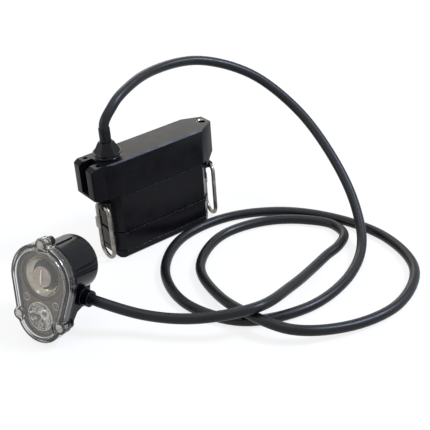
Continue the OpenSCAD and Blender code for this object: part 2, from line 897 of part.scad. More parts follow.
// Smooth curve through two neighbouring points of the route
function route_point(i, t) =
    let (a = cord_route[i], b = cord_route[i + 1], d = norm(b - a),
        p = (2 * t ^ 3 - 3 * t ^ 2 + 1) * a + (t ^ 3 - 2 * t ^ 2 + t) * d * route_way(i)
            + (3 * t ^ 2 - 2 * t ^ 3) * b + (t ^ 3 - t ^ 2) * d * route_way(i + 1))
    [p.x, p.y, max(p.z, cord_low)];

cord_path = [for (i = [0:cord_last - 1], t = [0, 0.5]) route_point(i, t), cord_finish];
path_last = len(cord_path) - 1;

function path_way(i) =
    i == 0 ? [0, 0, 1] :
    i == path_last ? -head_way([1, 0, 0]) :
    let (v = cord_path[i + 1] - cord_path[i - 1]) v / norm(v);

// Side way of each ring, carried along so that the tube doesn't twist
function carried(side, way) = let (s = side - (side * way) * way) s / norm(s);
side_ways = [for (i = 0, s = [1, 0, 0]; i <= path_last; i = i + 1,
    s = i <= path_last ? carried(s, path_way(i)) : s) s];

function ring(i) =
    let (side = side_ways[i], other = cross(path_way(i), side))
    [for (k = [0:cord_sides - 1]) let (a = 360 * k / cord_sides)
        cord_path[i] + cord_r * (cos(a) * side + sin(a) * other)];

module cord() {
    points = [for (i = [0:path_last]) each ring(i)];
    walls = [for (i = [0:path_last - 1], k = [0:cord_sides - 1])
        let (a = i * cord_sides + k, b = i * cord_sides + (k + 1) % cord_sides)
        each [[a, b + cord_sides, b], [a, a + cord_sides, b + cord_sides]]];
    first_end = [for (k = [0:cord_sides - 1]) k];
    last_end = [for (k = [0:cord_sides - 1]) path_last * cord_sides + cord_sides - 1 - k];
    color(rubber) polyhedron(points, concat(walls, [first_end, last_end]), convexity = 10);
}

// ---- Headpiece housing -----------------------------------------------------

// Lower part seen from the side, in y and depth, round its rear to its top; the first points go with the chin
chin_outline = [[-15.4, head_front], [-13.9, -14.5], [-10.9, -18.3], [-6.4, -19]];
lower_outline = concat(
    [for (at = chin_outline) [chin_y + at.x, at.y]],
    [[-31.6, -22.7], [-29.5, -28.7], [-27, lower_back], [lower_top, lower_back], [lower_top, head_front]]);

// Extrudes an outline in y and depth across the headpiece
module across_head(half) {
    translate([-half, 0, 0]) rotate([90, 0, 90]) linear_extrude(2 * half) children();
}

module lower_body() {
    difference() {
        intersection() {
            across_head(lower_half) polygon(lower_outline);
            egg_prism(-1.5, lower_back - cut, head_front);
        }
        translate([0, 0, lower_back - cut])
            cylinder(r = barrel_r + fit_gap, h = barrel_seam - lower_back + cut);
    }
}

module lower_room() {
    difference() {
        intersection() {
            across_head(lower_half - lower_wall) polygon(shrunk(lower_outline, lower_wall));
            egg_prism(-7, lower_back, head_front + cut);
        }
        translate([0, 0, lower_back - cut])
            cylinder(r = barrel_r + lower_wall, h = barrel_seam - lower_back + lower_wall + cut);
    }
}

module head_housing() {
    color(black) difference() {
        union() {
            egg_prism(-housing_in, flange_back, head_front);
            face_bar([0, 0], barrel_r, barrel_seam, head_front - cut);
            lower_body();
            translate([-rib_half, bore_r, barrel_seam])
                cube([2 * rib_half, head_wall + rib_rise, flange_back - barrel_seam + head_flange / 2]);
            for (at = bosses) face_bar(at, housing_boss_r, head_front - housing_boss_l, head_front);
        }
        face_bar([0, 0], bore_r, barrel_seam - cut, head_front + cut);
        egg_room();
        lower_room();
        for (at = bosses) face_bar(at, screw_r, head_front - face_screw_hole, head_front + cut);
        side_bar(head_gland_y, head_gland_z, head_spigot_r, lower_half - head_spigot_l, lower_half + cut);
        side_bar(head_gland_y, head_gland_z, ring_d / 2 + fit_gap, lower_half, barrel_r);
        side_bar(head_gland_y, head_gland_z, cord_r + fit_gap, tail_x - 0.2, lower_half + cut);
        side_bar(0, switch_z, bush_neck_r, -barrel_r - cut, 0);
        side_bar(0, switch_z, bush_r + fit_gap, -bush_seat - bush_out - cut, -bush_seat);
    }
}

// Opening in the flange behind the auxiliary lens
module egg_room() {
    intersection() {
        egg_prism(-7, flange_back - cut, head_front + cut);
        translate([-aux_board_r - 1, -lens_pitch - aux_board_r - 1, flange_back - cut])
            cube([2 * aux_board_r + 2, lens_pitch, head_flange + 2 * cut]);
    }
}

module rear_cap() {
    arc = [for (i = [0:6]) let (a = 270 + 15 * i)
        [barrel_r - cap_round + cap_round * cos(a), cap_back + cap_round + cap_round * sin(a)]];
    inner_round = max(cap_round - head_wall, 0.5);
    lip_root = barrel_seam - 2;
    color(black) difference() {
        union() {
            difference() {
                rotate_extrude() polygon(concat([[0, cap_back]], arc,
                    [[barrel_r, barrel_seam], [0, barrel_seam]]));
                rotate_extrude() polygon([[0, cap_floor], [bore_r - inner_round, cap_floor],
                    [bore_r, cap_floor + inner_round], [bore_r, barrel_seam + cut], [0, barrel_seam + cut]]);
            }
            difference() {
                union() {
                    face_bar([0, 0], bore_r - fit_gap, lip_root, barrel_seam + cap_lip_h);
                    face_bar([0, 0], bore_r + cut, lip_root, barrel_seam);
                }
                face_bar([0, 0], bore_r - cap_lip_t, lip_root - cut, barrel_seam + cap_lip_h + cut);
            }
            for (a = [90, 210, 330])
                face_bar(sink_post_r * [cos(a), sin(a)], sink_post_half, cap_floor - cut, sink_back);
            for (at = hook_screws_at) face_bar(at, hook_pad_r, cap_floor - cut, cap_floor + hook_pad_h);
        }
        for (at = hook_screws_at) face_bar(at, hook_screw_r, cap_back - cut, cap_back + hook_screw_l);
    }
}

// ---- Headpiece face --------------------------------------------------------

module cover_seal() {
    color(rubber) difference() {
        union() {
            egg_prism(-0.8, head_front, clear_back);
            for (at = bosses) face_bar(at, boss_r - 0.8, head_front, clear_back);
        }
        egg_prism(-clear_wall, head_front - cut, clear_back + cut);
        for (at = bosses) face_bar(at, screw_r + fit_gap, head_front - cut, clear_back + cut);
    }
}

module clear_cover() {
    window_front = flange_front + window_rise;
    color("#e8eaec", 0.35) difference() {
        union() {
            egg_prism(0, clear_back, flange_front);
            egg_prism(1 - clear_wall, clear_back, window_front);
            for (at = bosses) face_bar(at, boss_r, clear_back, flange_front + 0.3);
        }
        difference() {
            egg_prism(-clear_wall, clear_back - cut, window_front - window_t);
            for (at = bosses) face_bar(at, boss_r, clear_back - 2 * cut, window_front);
        }
        for (at = bosses) {
            face_bar(at, screw_r + fit_gap, clear_back - cut, window_front + cut);
            face_bar(at, face_screw_head_r + fit_gap, flange_front - face_screw_head_h, window_front + cut);
        }
    }
}

module cover_screws() {
    color(bright) for (at = bosses) {
        face_bar(at, face_screw_head_r, flange_front - face_screw_head_h, flange_front - 0.2);
        face_bar(at, screw_r, flange_front - face_screw_l, flange_front - face_screw_head_h);
    }
}

module reflector_plate() {
    back = plate_front - face_plate_t;
    color("#7c7872") difference() {
        union() {
            difference() {
                egg_prism(-clear_wall - 0.3, head_front, plate_front);
                egg_prism(-clear_wall - 1.8, head_front - cut, back);
            }
            face_bar(aux_at, aux_hole_r + skirt_wall, skirt_back, plate_front);
        }
        for (at = bosses) face_bar(at, boss_r + 0.3, head_front - cut, plate_front + cut);
        face_bar([0, 0], main_hole_r, head_front - cut, plate_front + cut);
        face_bar(aux_at, aux_hole_r, skirt_back - cut, plate_front + cut);
        for (at = indicator_at) {
            face_bar(at, indicator_r + fit_gap, head_front, plate_front + cut);
            translate([at.x, at.y, plate_front - indicator_sink])
                cylinder(r1 = indicator_r + fit_gap, r2 = indicator_r + 1, h = indicator_sink + 0.01);
        }
    }
}

// Cup that opens as a parabola; its lip stands in the plate's hole and its shoulder behind the plate
module main_reflector() {
    steps = 10;
    cup_back = plate_front - cup_depth;
    shoulder_front = plate_front - face_plate_t;
    shoulder_back = shoulder_front - 1;
    cup = [for (i = [0:steps]) let (t = i / steps)
        [cup_neck_r + (cup_r - cup_neck_r) * sqrt(t), cup_back + (lip_front - cup_back) * t]];
    rim = [[main_r, lip_front], [main_r, shoulder_front], [main_r + lip_shoulder, shoulder_front],
        [main_r + lip_shoulder, shoulder_back]];
    outer = [for (i = [steps:-1:0]) if (cup[i].y < shoulder_back - 0.1) [cup[i].x + cup_wall, cup[i].y]];
    color(bright) rotate_extrude() polygon(concat(cup, rim, [[cup_r + cup_wall, shoulder_back]], outer));
}

module main_lens() {
    foot_r = 4.4;
    dome = [for (i = [0:6]) let (a = 15 * i) [main_lens_r * cos(a), main_lens_front + lens_dome * sin(a)]];
    color("#e8eaec", 0.5) rotate_extrude() polygon(concat([[2.7, led_board_front], [foot_r, led_board_front]],
        dome, [[0, led_board_front + 3.4], [2.7, led_board_front + 3.4]]));
}

module aux_lens() {
    color("#e8eaec", 0.5) translate([aux_at.x, aux_at.y, 0]) rotate_extrude() polygon([[2.6, lens_back],
        [4.5, lens_back], [aux_hole_r - fit_gap, plate_front], [aux_r, plate_front], [aux_r, ring_front],
        [aux_r - 1.4, ring_front], [aux_r - 2.4, ring_front - 0.8], [0, ring_front - 0.4],
        [0, lens_back + 2.6], [2.6, lens_back + 2.2]]);
}

module indicator_lights() {
    dome_r = 1.5;
    color("#d9d4c8") for (at = indicator_at) {
        face_bar(at, indicator_r, plate_front - indicator_l, plate_front - indicator_sink);
        translate([at.x, at.y, plate_front - indicator_sink]) sphere(r = dome_r, $fn = 32);
    }
}

// Light source on a board: a square base and a small dome
module led(size, front) {
    base_h = 0.7;
    translate([-size / 2, -size / 2, front]) cube([size, size, base_h]);
    translate([0, 0, front + base_h]) intersection() {
        sphere(r = size * 0.42, $fn = 32);
        translate([-size, -size, 0]) cube(2 * size);
    }
}

module main_led() {
    color("#f2e08a") led(3.4, led_board_front);
}

module led_board() {
    color("#e9e9e4") face_bar([0, 0], led_board_r, led_board_back, led_board_front);
}

module aux_led() {
    color("#f2e08a") translate([aux_at.x, aux_at.y, 0]) led(3, skirt_back);
}

module aux_board() {
    color("#e9e9e4") face_bar(aux_at, aux_board_r, skirt_back - board_t, skirt_back);
}

module heat_sink() {
    color("#a9adb2") difference() {
        face_bar([0, 0], sink_r, sink_back, led_board_back);
        for (z = [1, 3]) difference() {
            face_bar([0, 0], sink_r + cut, sink_back + z, sink_back + z + 1);
            face_bar([0, 0], sink_r - 3, sink_back, led_board_back);
        }
    }
}

module driver_board() {
    color(board_green) face_bar([0, 0], sink_r - 3.5, sink_back - board_t, sink_back);
}

// ---- Push switch -----------------------------------------------------------

module switch_bush() {
    color(black) difference() {
        union() {
            side_bar(0, switch_z, bush_r, -bush_seat - bush_out, -bush_seat);
            side_bar(0, switch_z, bush_neck_r, -bush_seat, -bush_in);
        }
        side_bar(0, switch_z, button_bore_r, -bush_seat - bush_out - cut, 0);
    }
}

module switch_button() {
    color("#3a3a40") {
        side_bar(0, switch_z, button_r, -button_out, -button_foot);
        side_bar(0, switch_z, button_flange_r, -button_foot - button_flange_t, -button_foot);
    }
}

module tact_switch() {
    color("#17171a") {
        translate([-tact_front, -tact_w / 2, switch_z - tact_w / 2]) cube([tact_h, tact_w, tact_w]);
        side_bar(0, switch_z, plunger_r, -plunger_end, -tact_front);
    }
}

module switch_board() {
    color(board_green) translate([-tact_back, -tact_w / 2 - 0.5, led_board_front])
        cube([board_t, tact_w + 1, switch_z + tact_w / 2 - led_board_front]);
}

// ---- Helmet hook -----------------------------------------------------------

module helmet_hook() {
    strip_back = cap_back - strip_t;
    blade_back = strip_back - hook_gap;
    color(steel) difference() {
        translate([-hook_w / 2, 0, 0]) {
            translate([0, hook_foot, strip_back]) cube([hook_w, hook_top - hook_foot, strip_t]);
            translate([0, hook_top - strip_t, blade_back]) cube([hook_w, strip_t, hook_gap + strip_t]);
            translate([0, hook_top - hook_l, blade_back]) cube([hook_w, hook_l, strip_t]);
        }
        for (at = hook_screws_at) {
            face_bar(at, hook_screw_r + fit_gap, strip_back - cut, cap_back + cut);
            translate([at.x, at.y, strip_back])
                cylinder(r1 = hook_screw_head_r, r2 = hook_screw_r + fit_gap, h = strip_t);
        }
    }
}

module hook_screws() {
    color(bright) for (at = hook_screws_at) {
        translate([at.x, at.y, cap_back - strip_t])
            cylinder(r1 = hook_screw_head_r - fit_gap, r2 = hook_screw_r, h = strip_t);
        face_bar(at, hook_screw_r, cap_back, cap_back + hook_screw_l);
    }
}

// ---- Headpiece gland -------------------------------------------------------

module head_gland_body() {
    color(black) difference() {
        union() {
            side_bar(head_gland_y, head_gland_z, ring_d / 2, ring_x, nut_x);
            side_bar(head_gland_y, head_gland_z, head_spigot_r, ring_x - head_spigot_l, ring_x + cut);
            side_bar(head_gland_y, head_gland_z, head_neck_r, nut_x - cut, nut_x + head_neck_l);
        }
        side_bar(head_gland_y, head_gland_z, cord_r + fit_gap, ring_x - head_spigot_l - cut, exit_x);
    }
}

module head_gland_seal() {
    color(rubber) difference() {
        side_bar(head_gland_y, head_gland_z, head_neck_r, nut_x + head_neck_l, head_seal_x);
        side_bar(head_gland_y, head_gland_z, cord_r, nut_x, exit_x);
    }
}

module head_gland_nut() {
    color(black) difference() {
        side_bar(head_gland_y, head_gland_z, head_nut_d / 2, nut_x, exit_x);
        side_bar(head_gland_y, head_gland_z, head_neck_r, nut_x - cut, head_seal_x);
        side_bar(head_gland_y, head_gland_z, cord_r, nut_x - cut, exit_x + cut);
    }
}

module cord_end_head() {
    color(rubber) side_bar(head_gland_y, head_gland_z, cord_r, tail_x, exit_x);
}

// ---- Assembly --------------------------------------------------------------

base_cap();
battery_case();
case_gasket();
top_cover();
case_screws();
holder_lower();
holder_upper();
cell(1);  // cell_1
cell(2);  // cell_2
cell(3);  // cell_3
cell(4);  // cell_4
cell_straps();
protection_board();
gland_collar();
gland_seal();
gland_nut();
gland_sleeve();
cord_end_battery();
loop_bracket_near();
loop_bracket_far();
bracket_rivets();
belt_loop_near();
belt_loop_far();
cord();
at_head() head_housing();
at_head() rear_cap();
at_head() cover_seal();
at_head() clear_cover();
at_head() cover_screws();
at_head() reflector_plate();
at_head() main_reflector();
at_head() main_lens();
at_head() aux_lens();
at_head() indicator_lights();
at_head() main_led();
at_head() led_board();
at_head() aux_led();
at_head() aux_board();
at_head() heat_sink();
at_head() driver_board();
at_head() switch_bush();
at_head() switch_button();
at_head() tact_switch();
at_head() switch_board();
at_head() helmet_hook();
at_head() hook_screws();
at_head() head_gland_body();
at_head() head_gland_seal();
at_head() head_gland_nut();
at_head() cord_end_head();
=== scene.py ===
"""Looks of a miner's cap lamp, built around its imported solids.

The battery, the headpiece and the cord between them are in metres, in the frame of the
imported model: the origin under the middle of the battery, +X towards its pointed tip, +Z up.
Sizes that repeat a driving size of the solids are written in millimetres.
"""

from __future__ import annotations

import logging
import math
from dataclasses import dataclass
from enum import Enum
from typing import Any, Callable, Sequence

import bmesh
import bpy
import numpy as np
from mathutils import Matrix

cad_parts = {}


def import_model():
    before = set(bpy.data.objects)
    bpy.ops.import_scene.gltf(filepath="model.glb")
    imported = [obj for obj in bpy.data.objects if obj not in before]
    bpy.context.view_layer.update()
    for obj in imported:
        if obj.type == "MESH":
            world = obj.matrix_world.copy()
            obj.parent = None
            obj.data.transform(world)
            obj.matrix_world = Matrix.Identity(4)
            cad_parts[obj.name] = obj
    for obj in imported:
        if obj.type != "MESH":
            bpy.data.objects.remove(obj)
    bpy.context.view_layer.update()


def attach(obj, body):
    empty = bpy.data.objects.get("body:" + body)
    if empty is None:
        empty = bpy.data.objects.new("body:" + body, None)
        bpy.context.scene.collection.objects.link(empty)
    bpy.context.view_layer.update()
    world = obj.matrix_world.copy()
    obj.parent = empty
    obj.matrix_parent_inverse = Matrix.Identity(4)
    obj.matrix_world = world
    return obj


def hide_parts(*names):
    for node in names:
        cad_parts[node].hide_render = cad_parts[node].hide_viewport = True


LOG = logging.getLogger("cap_lamp")
MM = 0.001

# Nearly all values of a noise lie between these two.
NOISE_LOW, NOISE_HIGH = 0.3, 0.7
# Angles of the rings across a rounded edge.
QUARTER_TURN = np.radians([0, 22, 45, 67, 90])
# Edges that bend more than this are rounded, and faces that bend less are one face.
EDGE_ANGLE, FLAT_ANGLE = math.radians(30), math.radians(0.5)
EDGE_SEGMENTS = 3
# In metres: points nearer than the first are one point in a computed skin, edges shorter
# than the second are dropped from it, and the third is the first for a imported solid.
DOUBLE, DEGENERATE, SOLID_DOUBLE = 1e-7, 1e-8, 1e-6
# Height of the reflector plate's front in the headpiece's frame, in millimetres.
PLATE_FRONT = -1.0

Array = np.ndarray
Link = tuple[bpy.types.Node, str]
Profile = list[tuple[float, float]]


# ---------------------------------------------------------------- colour and nodes


def linear(code: str) -> tuple[float, float, float, float]:
    """Turns an sRGB hex code into linear red, green, blue and an alpha of 1.

    Args:
        code: six hex digits after a hash sign.

    Returns:
        The four linear values.
    """
    parts = np.array([int(code[i : i + 2], 16) for i in (1, 3, 5)]) / 255.0
    low = parts / 12.92
    high = ((parts + 0.055) / 1.055) ** 2.4
    red, green, blue = np.where(parts <= 0.04045, low, high)
    return float(red), float(green), float(blue), 1.0


def add_node(
    tree: bpy.types.NodeTree,
    kind: str,
    values: dict[str, Any] | None = None,
    links: dict[str, Link] | None = None,
    **settings: Any,
) -> bpy.types.Node:
    """Adds a shader node, sets it up and links its inputs.

    Args:
        tree: the node tree that gets the node.
        kind: the node's type name without its ShaderNode prefix.
        values: input names or numbers and their values.
        links: input names or numbers, each with a node and the name of its output.
        settings: the node's own properties.

    Returns:
        The new node.
    """
    made = tree.nodes.new("ShaderNode" + kind)
    for name, value in settings.items():
        setattr(made, name, value)
    for name, value in (values or {}).items():
        made.inputs[name].default_value = value
    for name, (other, output) in (links or {}).items():
        tree.links.new(other.outputs[output], made.inputs[name])
    return made


def new_material(name: str) -> tuple[bpy.types.Material, bpy.types.NodeTree, bpy.types.Node]:
    """Starts a material.

    Args:
        name: the material's name.

    Returns:
        The material, its empty node tree and the output node.
    """
    material = bpy.data.materials.new(name)
    material.use_nodes = True
    tree = material.node_tree
    tree.nodes.clear()
    return material, tree, add_node(tree, "OutputMaterial")


def add_surface(
    tree: bpy.types.NodeTree, output: bpy.types.Node, values: dict[str, Any], links: dict[str, Link]
) -> None:
    """Adds the principled shader and links it to the material's surface.

    Args:
        tree: the material's node tree.
        output: its output node.
        values: constants of the shader's inputs.
        links: inputs of the shader that a pattern drives.
    """
    shader = add_node(tree, "BsdfPrincipled", values, links)
    tree.links.new(shader.outputs["BSDF"], output.inputs["Surface"])


def noise_at(
    tree: bpy.types.NodeTree, size_mm: float, detail: float, stretch: Sequence[float] = (1, 1, 1)
) -> Link:
    """Adds noise on the object's own coordinates.

    Args:
        tree: the material's node tree.
        size_mm: the real width of one speck or patch.
        detail: the number of finer layers.
        stretch: how much longer the specks are along each axis.

    Returns:
        The noise node and the name of its factor output.
    """
    place = add_node(tree, "TexCoord")
    scale = tuple(1.0 / (size_mm * MM * s) for s in stretch)
    mapping = add_node(tree, "Mapping", {"Scale": scale}, {"Vector": (place, "Object")})
    settings = {"Scale": 1.0, "Detail": detail}
    noise = add_node(tree, "TexNoise", settings, {"Vector": (mapping, "Vector")})
    return noise, "Fac"


def spread(tree: bpy.types.NodeTree, source: Link, low: float, high: float) -> Link:
    """Spreads the middle of a noise over a range of values.

    Args:
        tree: the material's node tree.
        source: the noise.
        low: value where the noise is low.
        high: value where the noise is high.

    Returns:
        The node and the name of its output.
    """
    ranged = add_node(
        tree,
        "MapRange",
        {"From Min": NOISE_LOW, "From Max": NOISE_HIGH, "To Min": low, "To Max": high},
        {"Value": source},
    )
    return ranged, "Result"


def blend_colours(tree: bpy.types.NodeTree, factor: Link, first: str, second: str) -> Link:
    """Mixes two colours by a factor.

    Args:
        tree: the material's node tree.
        factor: where the second colour shows.
        first: hex code at factor 0.
        second: hex code at factor 1.

    Returns:
        The mix node and the name of its colour output.
    """
    # A mix node's colour inputs share their name, so they are taken by number.
    colours = {6: linear(first), 7: linear(second)}
    mix = add_node(tree, "Mix", colours, {0: factor}, data_type="RGBA")
    return mix, "Result"


def two_tone(tree: bpy.types.NodeTree, pattern: Link, first: str, second: str) -> Link:
    """Mixes two colours by a noise that is spread from 0 to 1.

    Args:
        tree: the material's node tree.
        pattern: the noise.
        first: hex code where the noise is low.
        second: hex code where it is high.

    Returns:
        The mix node and the name of its colour output.
    """
    return blend_colours(tree, spread(tree, pattern, 0.0, 1.0), first, second)


def bump(tree: bpy.types.NodeTree, height: Link, depth_mm: float) -> Link:
    """Turns a height from 0 to 1 into a normal.

    Args:
        tree: the material's node tree.
        height: the height pattern.
        depth_mm: the real depth from 0 to 1.

    Returns:
        The bump node and the name of its normal output.
    """
    settings = {"Strength": 1.0, "Distance": depth_mm * MM}
    return add_node(tree, "Bump", settings, {"Height": height}), "Normal"


# ---------------------------------------------------------------- finishes


@dataclass(frozen=True)
class MouldedPlastic:
    """Injection-moulded plastic, spark-eroded to a satin.

    Fine grain breaks up the gloss, and handling polishes it in soft patches. The real
    grain is 0.05 to 0.1 mm wide. It is drawn 0.4 to 0.9 mm wide, because finer grain
    doesn't show.
    """

    name: str
    colour: str
    worn: str
    roughness: tuple[float, float]
    specular: float
    grain_mm: float = 0.55
    grain_depth_mm: float = 0.012
    patch_mm: float = 14.0
    ior: float = 1.53

    def build(self) -> bpy.types.Material:
        """Builds the material's nodes.

        Returns:
            The material.
        """
        material, tree, output = new_material(self.name)
        patches = noise_at(tree, self.patch_mm, 4.0)
        grain = noise_at(tree, self.grain_mm, 2.0)
        add_surface(
            tree,
            output,
            {"Specular IOR Level": self.specular, "IOR": self.ior},
            {
                "Base Color": two_tone(tree, patches, self.colour, self.worn),
                "Roughness": spread(tree, patches, *self.roughness),
                "Normal": bump(tree, grain, self.grain_depth_mm),
            },
        )
        return material


@dataclass(frozen=True)
class Rubber:
    """Chloroprene rubber, extruded or moulded: matt, with faint drag marks and bloom."""

    name: str
    colour: str
    bloom: str
    roughness: tuple[float, float] = (0.34, 0.48)
    specular: float = 0.2
    drag_mm: float = 0.5
    drag_depth_mm: float = 0.02
    patch_mm: float = 9.0
    ior: float = 1.52

    def build(self) -> bpy.types.Material:
        """Builds the material's nodes.

        Returns:
            The material.
        """
        material, tree, output = new_material(self.name)
        patches = noise_at(tree, self.patch_mm, 5.0)
        skin = noise_at(tree, self.drag_mm, 3.0)
        add_surface(
            tree,
            output,
            {"Specular IOR Level": self.specular, "IOR": self.ior},
            {
                "Base Color": two_tone(tree, patches, self.colour, self.bloom),
                "Roughness": spread(tree, patches, *self.roughness),
                "Normal": bump(tree, skin, self.drag_depth_mm),
            },
        )
        return material


@dataclass(frozen=True)
class DrawnSteel:
    """Drawn, rolled or machined metal: fine scratches one way and darker tarnish."""

    name: str
    colour: str
    tarnish: str
    roughness: tuple[float, float] = (0.22, 0.42)
    scratch_mm: float = 0.3
    stretch: tuple[float, float, float] = (1.0, 1.0, 30.0)
    scratch_depth_mm: float = 0.006
    patch_mm: float = 3.5

    def build(self) -> bpy.types.Material:
        """Builds the material's nodes.

        Returns:
            The material.
        """
        material, tree, output = new_material(self.name)
        scratches = noise_at(tree, self.scratch_mm, 2.0, self.stretch)
        patches = noise_at(tree, self.patch_mm, 4.0)
        add_surface(
            tree,
            output,
            {"Metallic": 1.0},
            {
                "Base Color": two_tone(tree, patches, self.colour, self.tarnish),
                "Roughness": spread(tree, scratches, *self.roughness),
                "Normal": bump(tree, scratches, self.scratch_depth_mm),
            },
        )
        return material


@dataclass(frozen=True)
class ClearPlastic:
    """Clear moulded plastic: full refraction, faint haze and fine scuffs.

    Thick parts are greyer than thin ones, because light is lost along its way inside.
    """

    name: str
    depth_tint: str
    loss_per_metre: float
    ior: float
    roughness: tuple[float, float]
    specular: float
    wave_mm: float = 7.0
    wave_depth_mm: float = 0.02
    scuff_mm: float = 4.0

    def build(self) -> bpy.types.Material:
        """Builds the material's nodes.

        Returns:
            The material.
        """
        material, tree, output = new_material(self.name)
        scuffs = noise_at(tree, self.scuff_mm, 5.0)
        waves = noise_at(tree, self.wave_mm, 1.0)
        add_surface(
            tree,
            output,
            {
                "Base Color": (1.0, 1.0, 1.0, 1.0),
                "IOR": self.ior,
                "Specular IOR Level": self.specular,
                "Transmission Weight": 1.0,
            },
            {
                "Roughness": spread(tree, scuffs, *self.roughness),
                "Normal": bump(tree, waves, self.wave_depth_mm),
            },
        )
        loss = {"Color": linear(self.depth_tint), "Density": self.loss_per_metre}
        inside = add_node(tree, "VolumeAbsorption", loss)
        tree.links.new(inside.outputs["Volume"], output.inputs["Volume"])
        return material


@dataclass(frozen=True)
class Metallised:
    """Aluminium or gilt evaporated on moulded plastic: a mirror, a little wavy and hazy."""

    name: str
    colour: str
    haze: str
    roughness: tuple[float, float] = (0.06, 0.16)
    wave_mm: float = 5.0
    wave_depth_mm: float = 0.02

    def build(self) -> bpy.types.Material:
        """Builds the material's nodes.

        Returns:
            The material.
        """
        material, tree, output = new_material(self.name)
        waves = noise_at(tree, self.wave_mm, 4.0)
        add_surface(
            tree,
            output,
            {"Metallic": 1.0},
            {
                "Base Color": two_tone(tree, waves, self.colour, self.haze),
                "Roughness": spread(tree, waves, *self.roughness),
                "Normal": bump(tree, waves, self.wave_depth_mm),
            },
        )
        return material


@dataclass(frozen=True)
class Board:
    """Glass-fibre board under solder mask: even colour with fine tracks over a weave.

    The real weave is 0.2 to 0.4 mm wide and is drawn 0.8 mm wide, so that it shows.
    """

    name: str
    mask: str
    track: str
    weave_mm: float = 0.8
    track_width: float = 0.03
    track_height_mm: float = 0.03
    specular: float = 0.5
    roughness: float = 0.28

    def build(self) -> bpy.types.Material:
        """Builds the material's nodes.

        Returns:
            The material.
        """
        material, tree, output = new_material(self.name)
        place = add_node(tree, "TexCoord")
        # One unit of the brick pattern holds four threads.
        settings = {"Scale": 1.0 / (self.weave_mm * 4 * MM), "Mortar Size": self.track_width}
        weave = add_node(tree, "TexBrick", settings, {"Vector": (place, "Object")})
        add_surface(
            tree,
            output,
            {"Specular IOR Level": self.specular, "Roughness": self.roughness},
            {
                "Base Color": blend_colours(tree, (weave, "Fac"), self.mask, self.track),
                "Normal": bump(tree, (weave, "Fac"), self.track_height_mm),
            },
        )
        return material


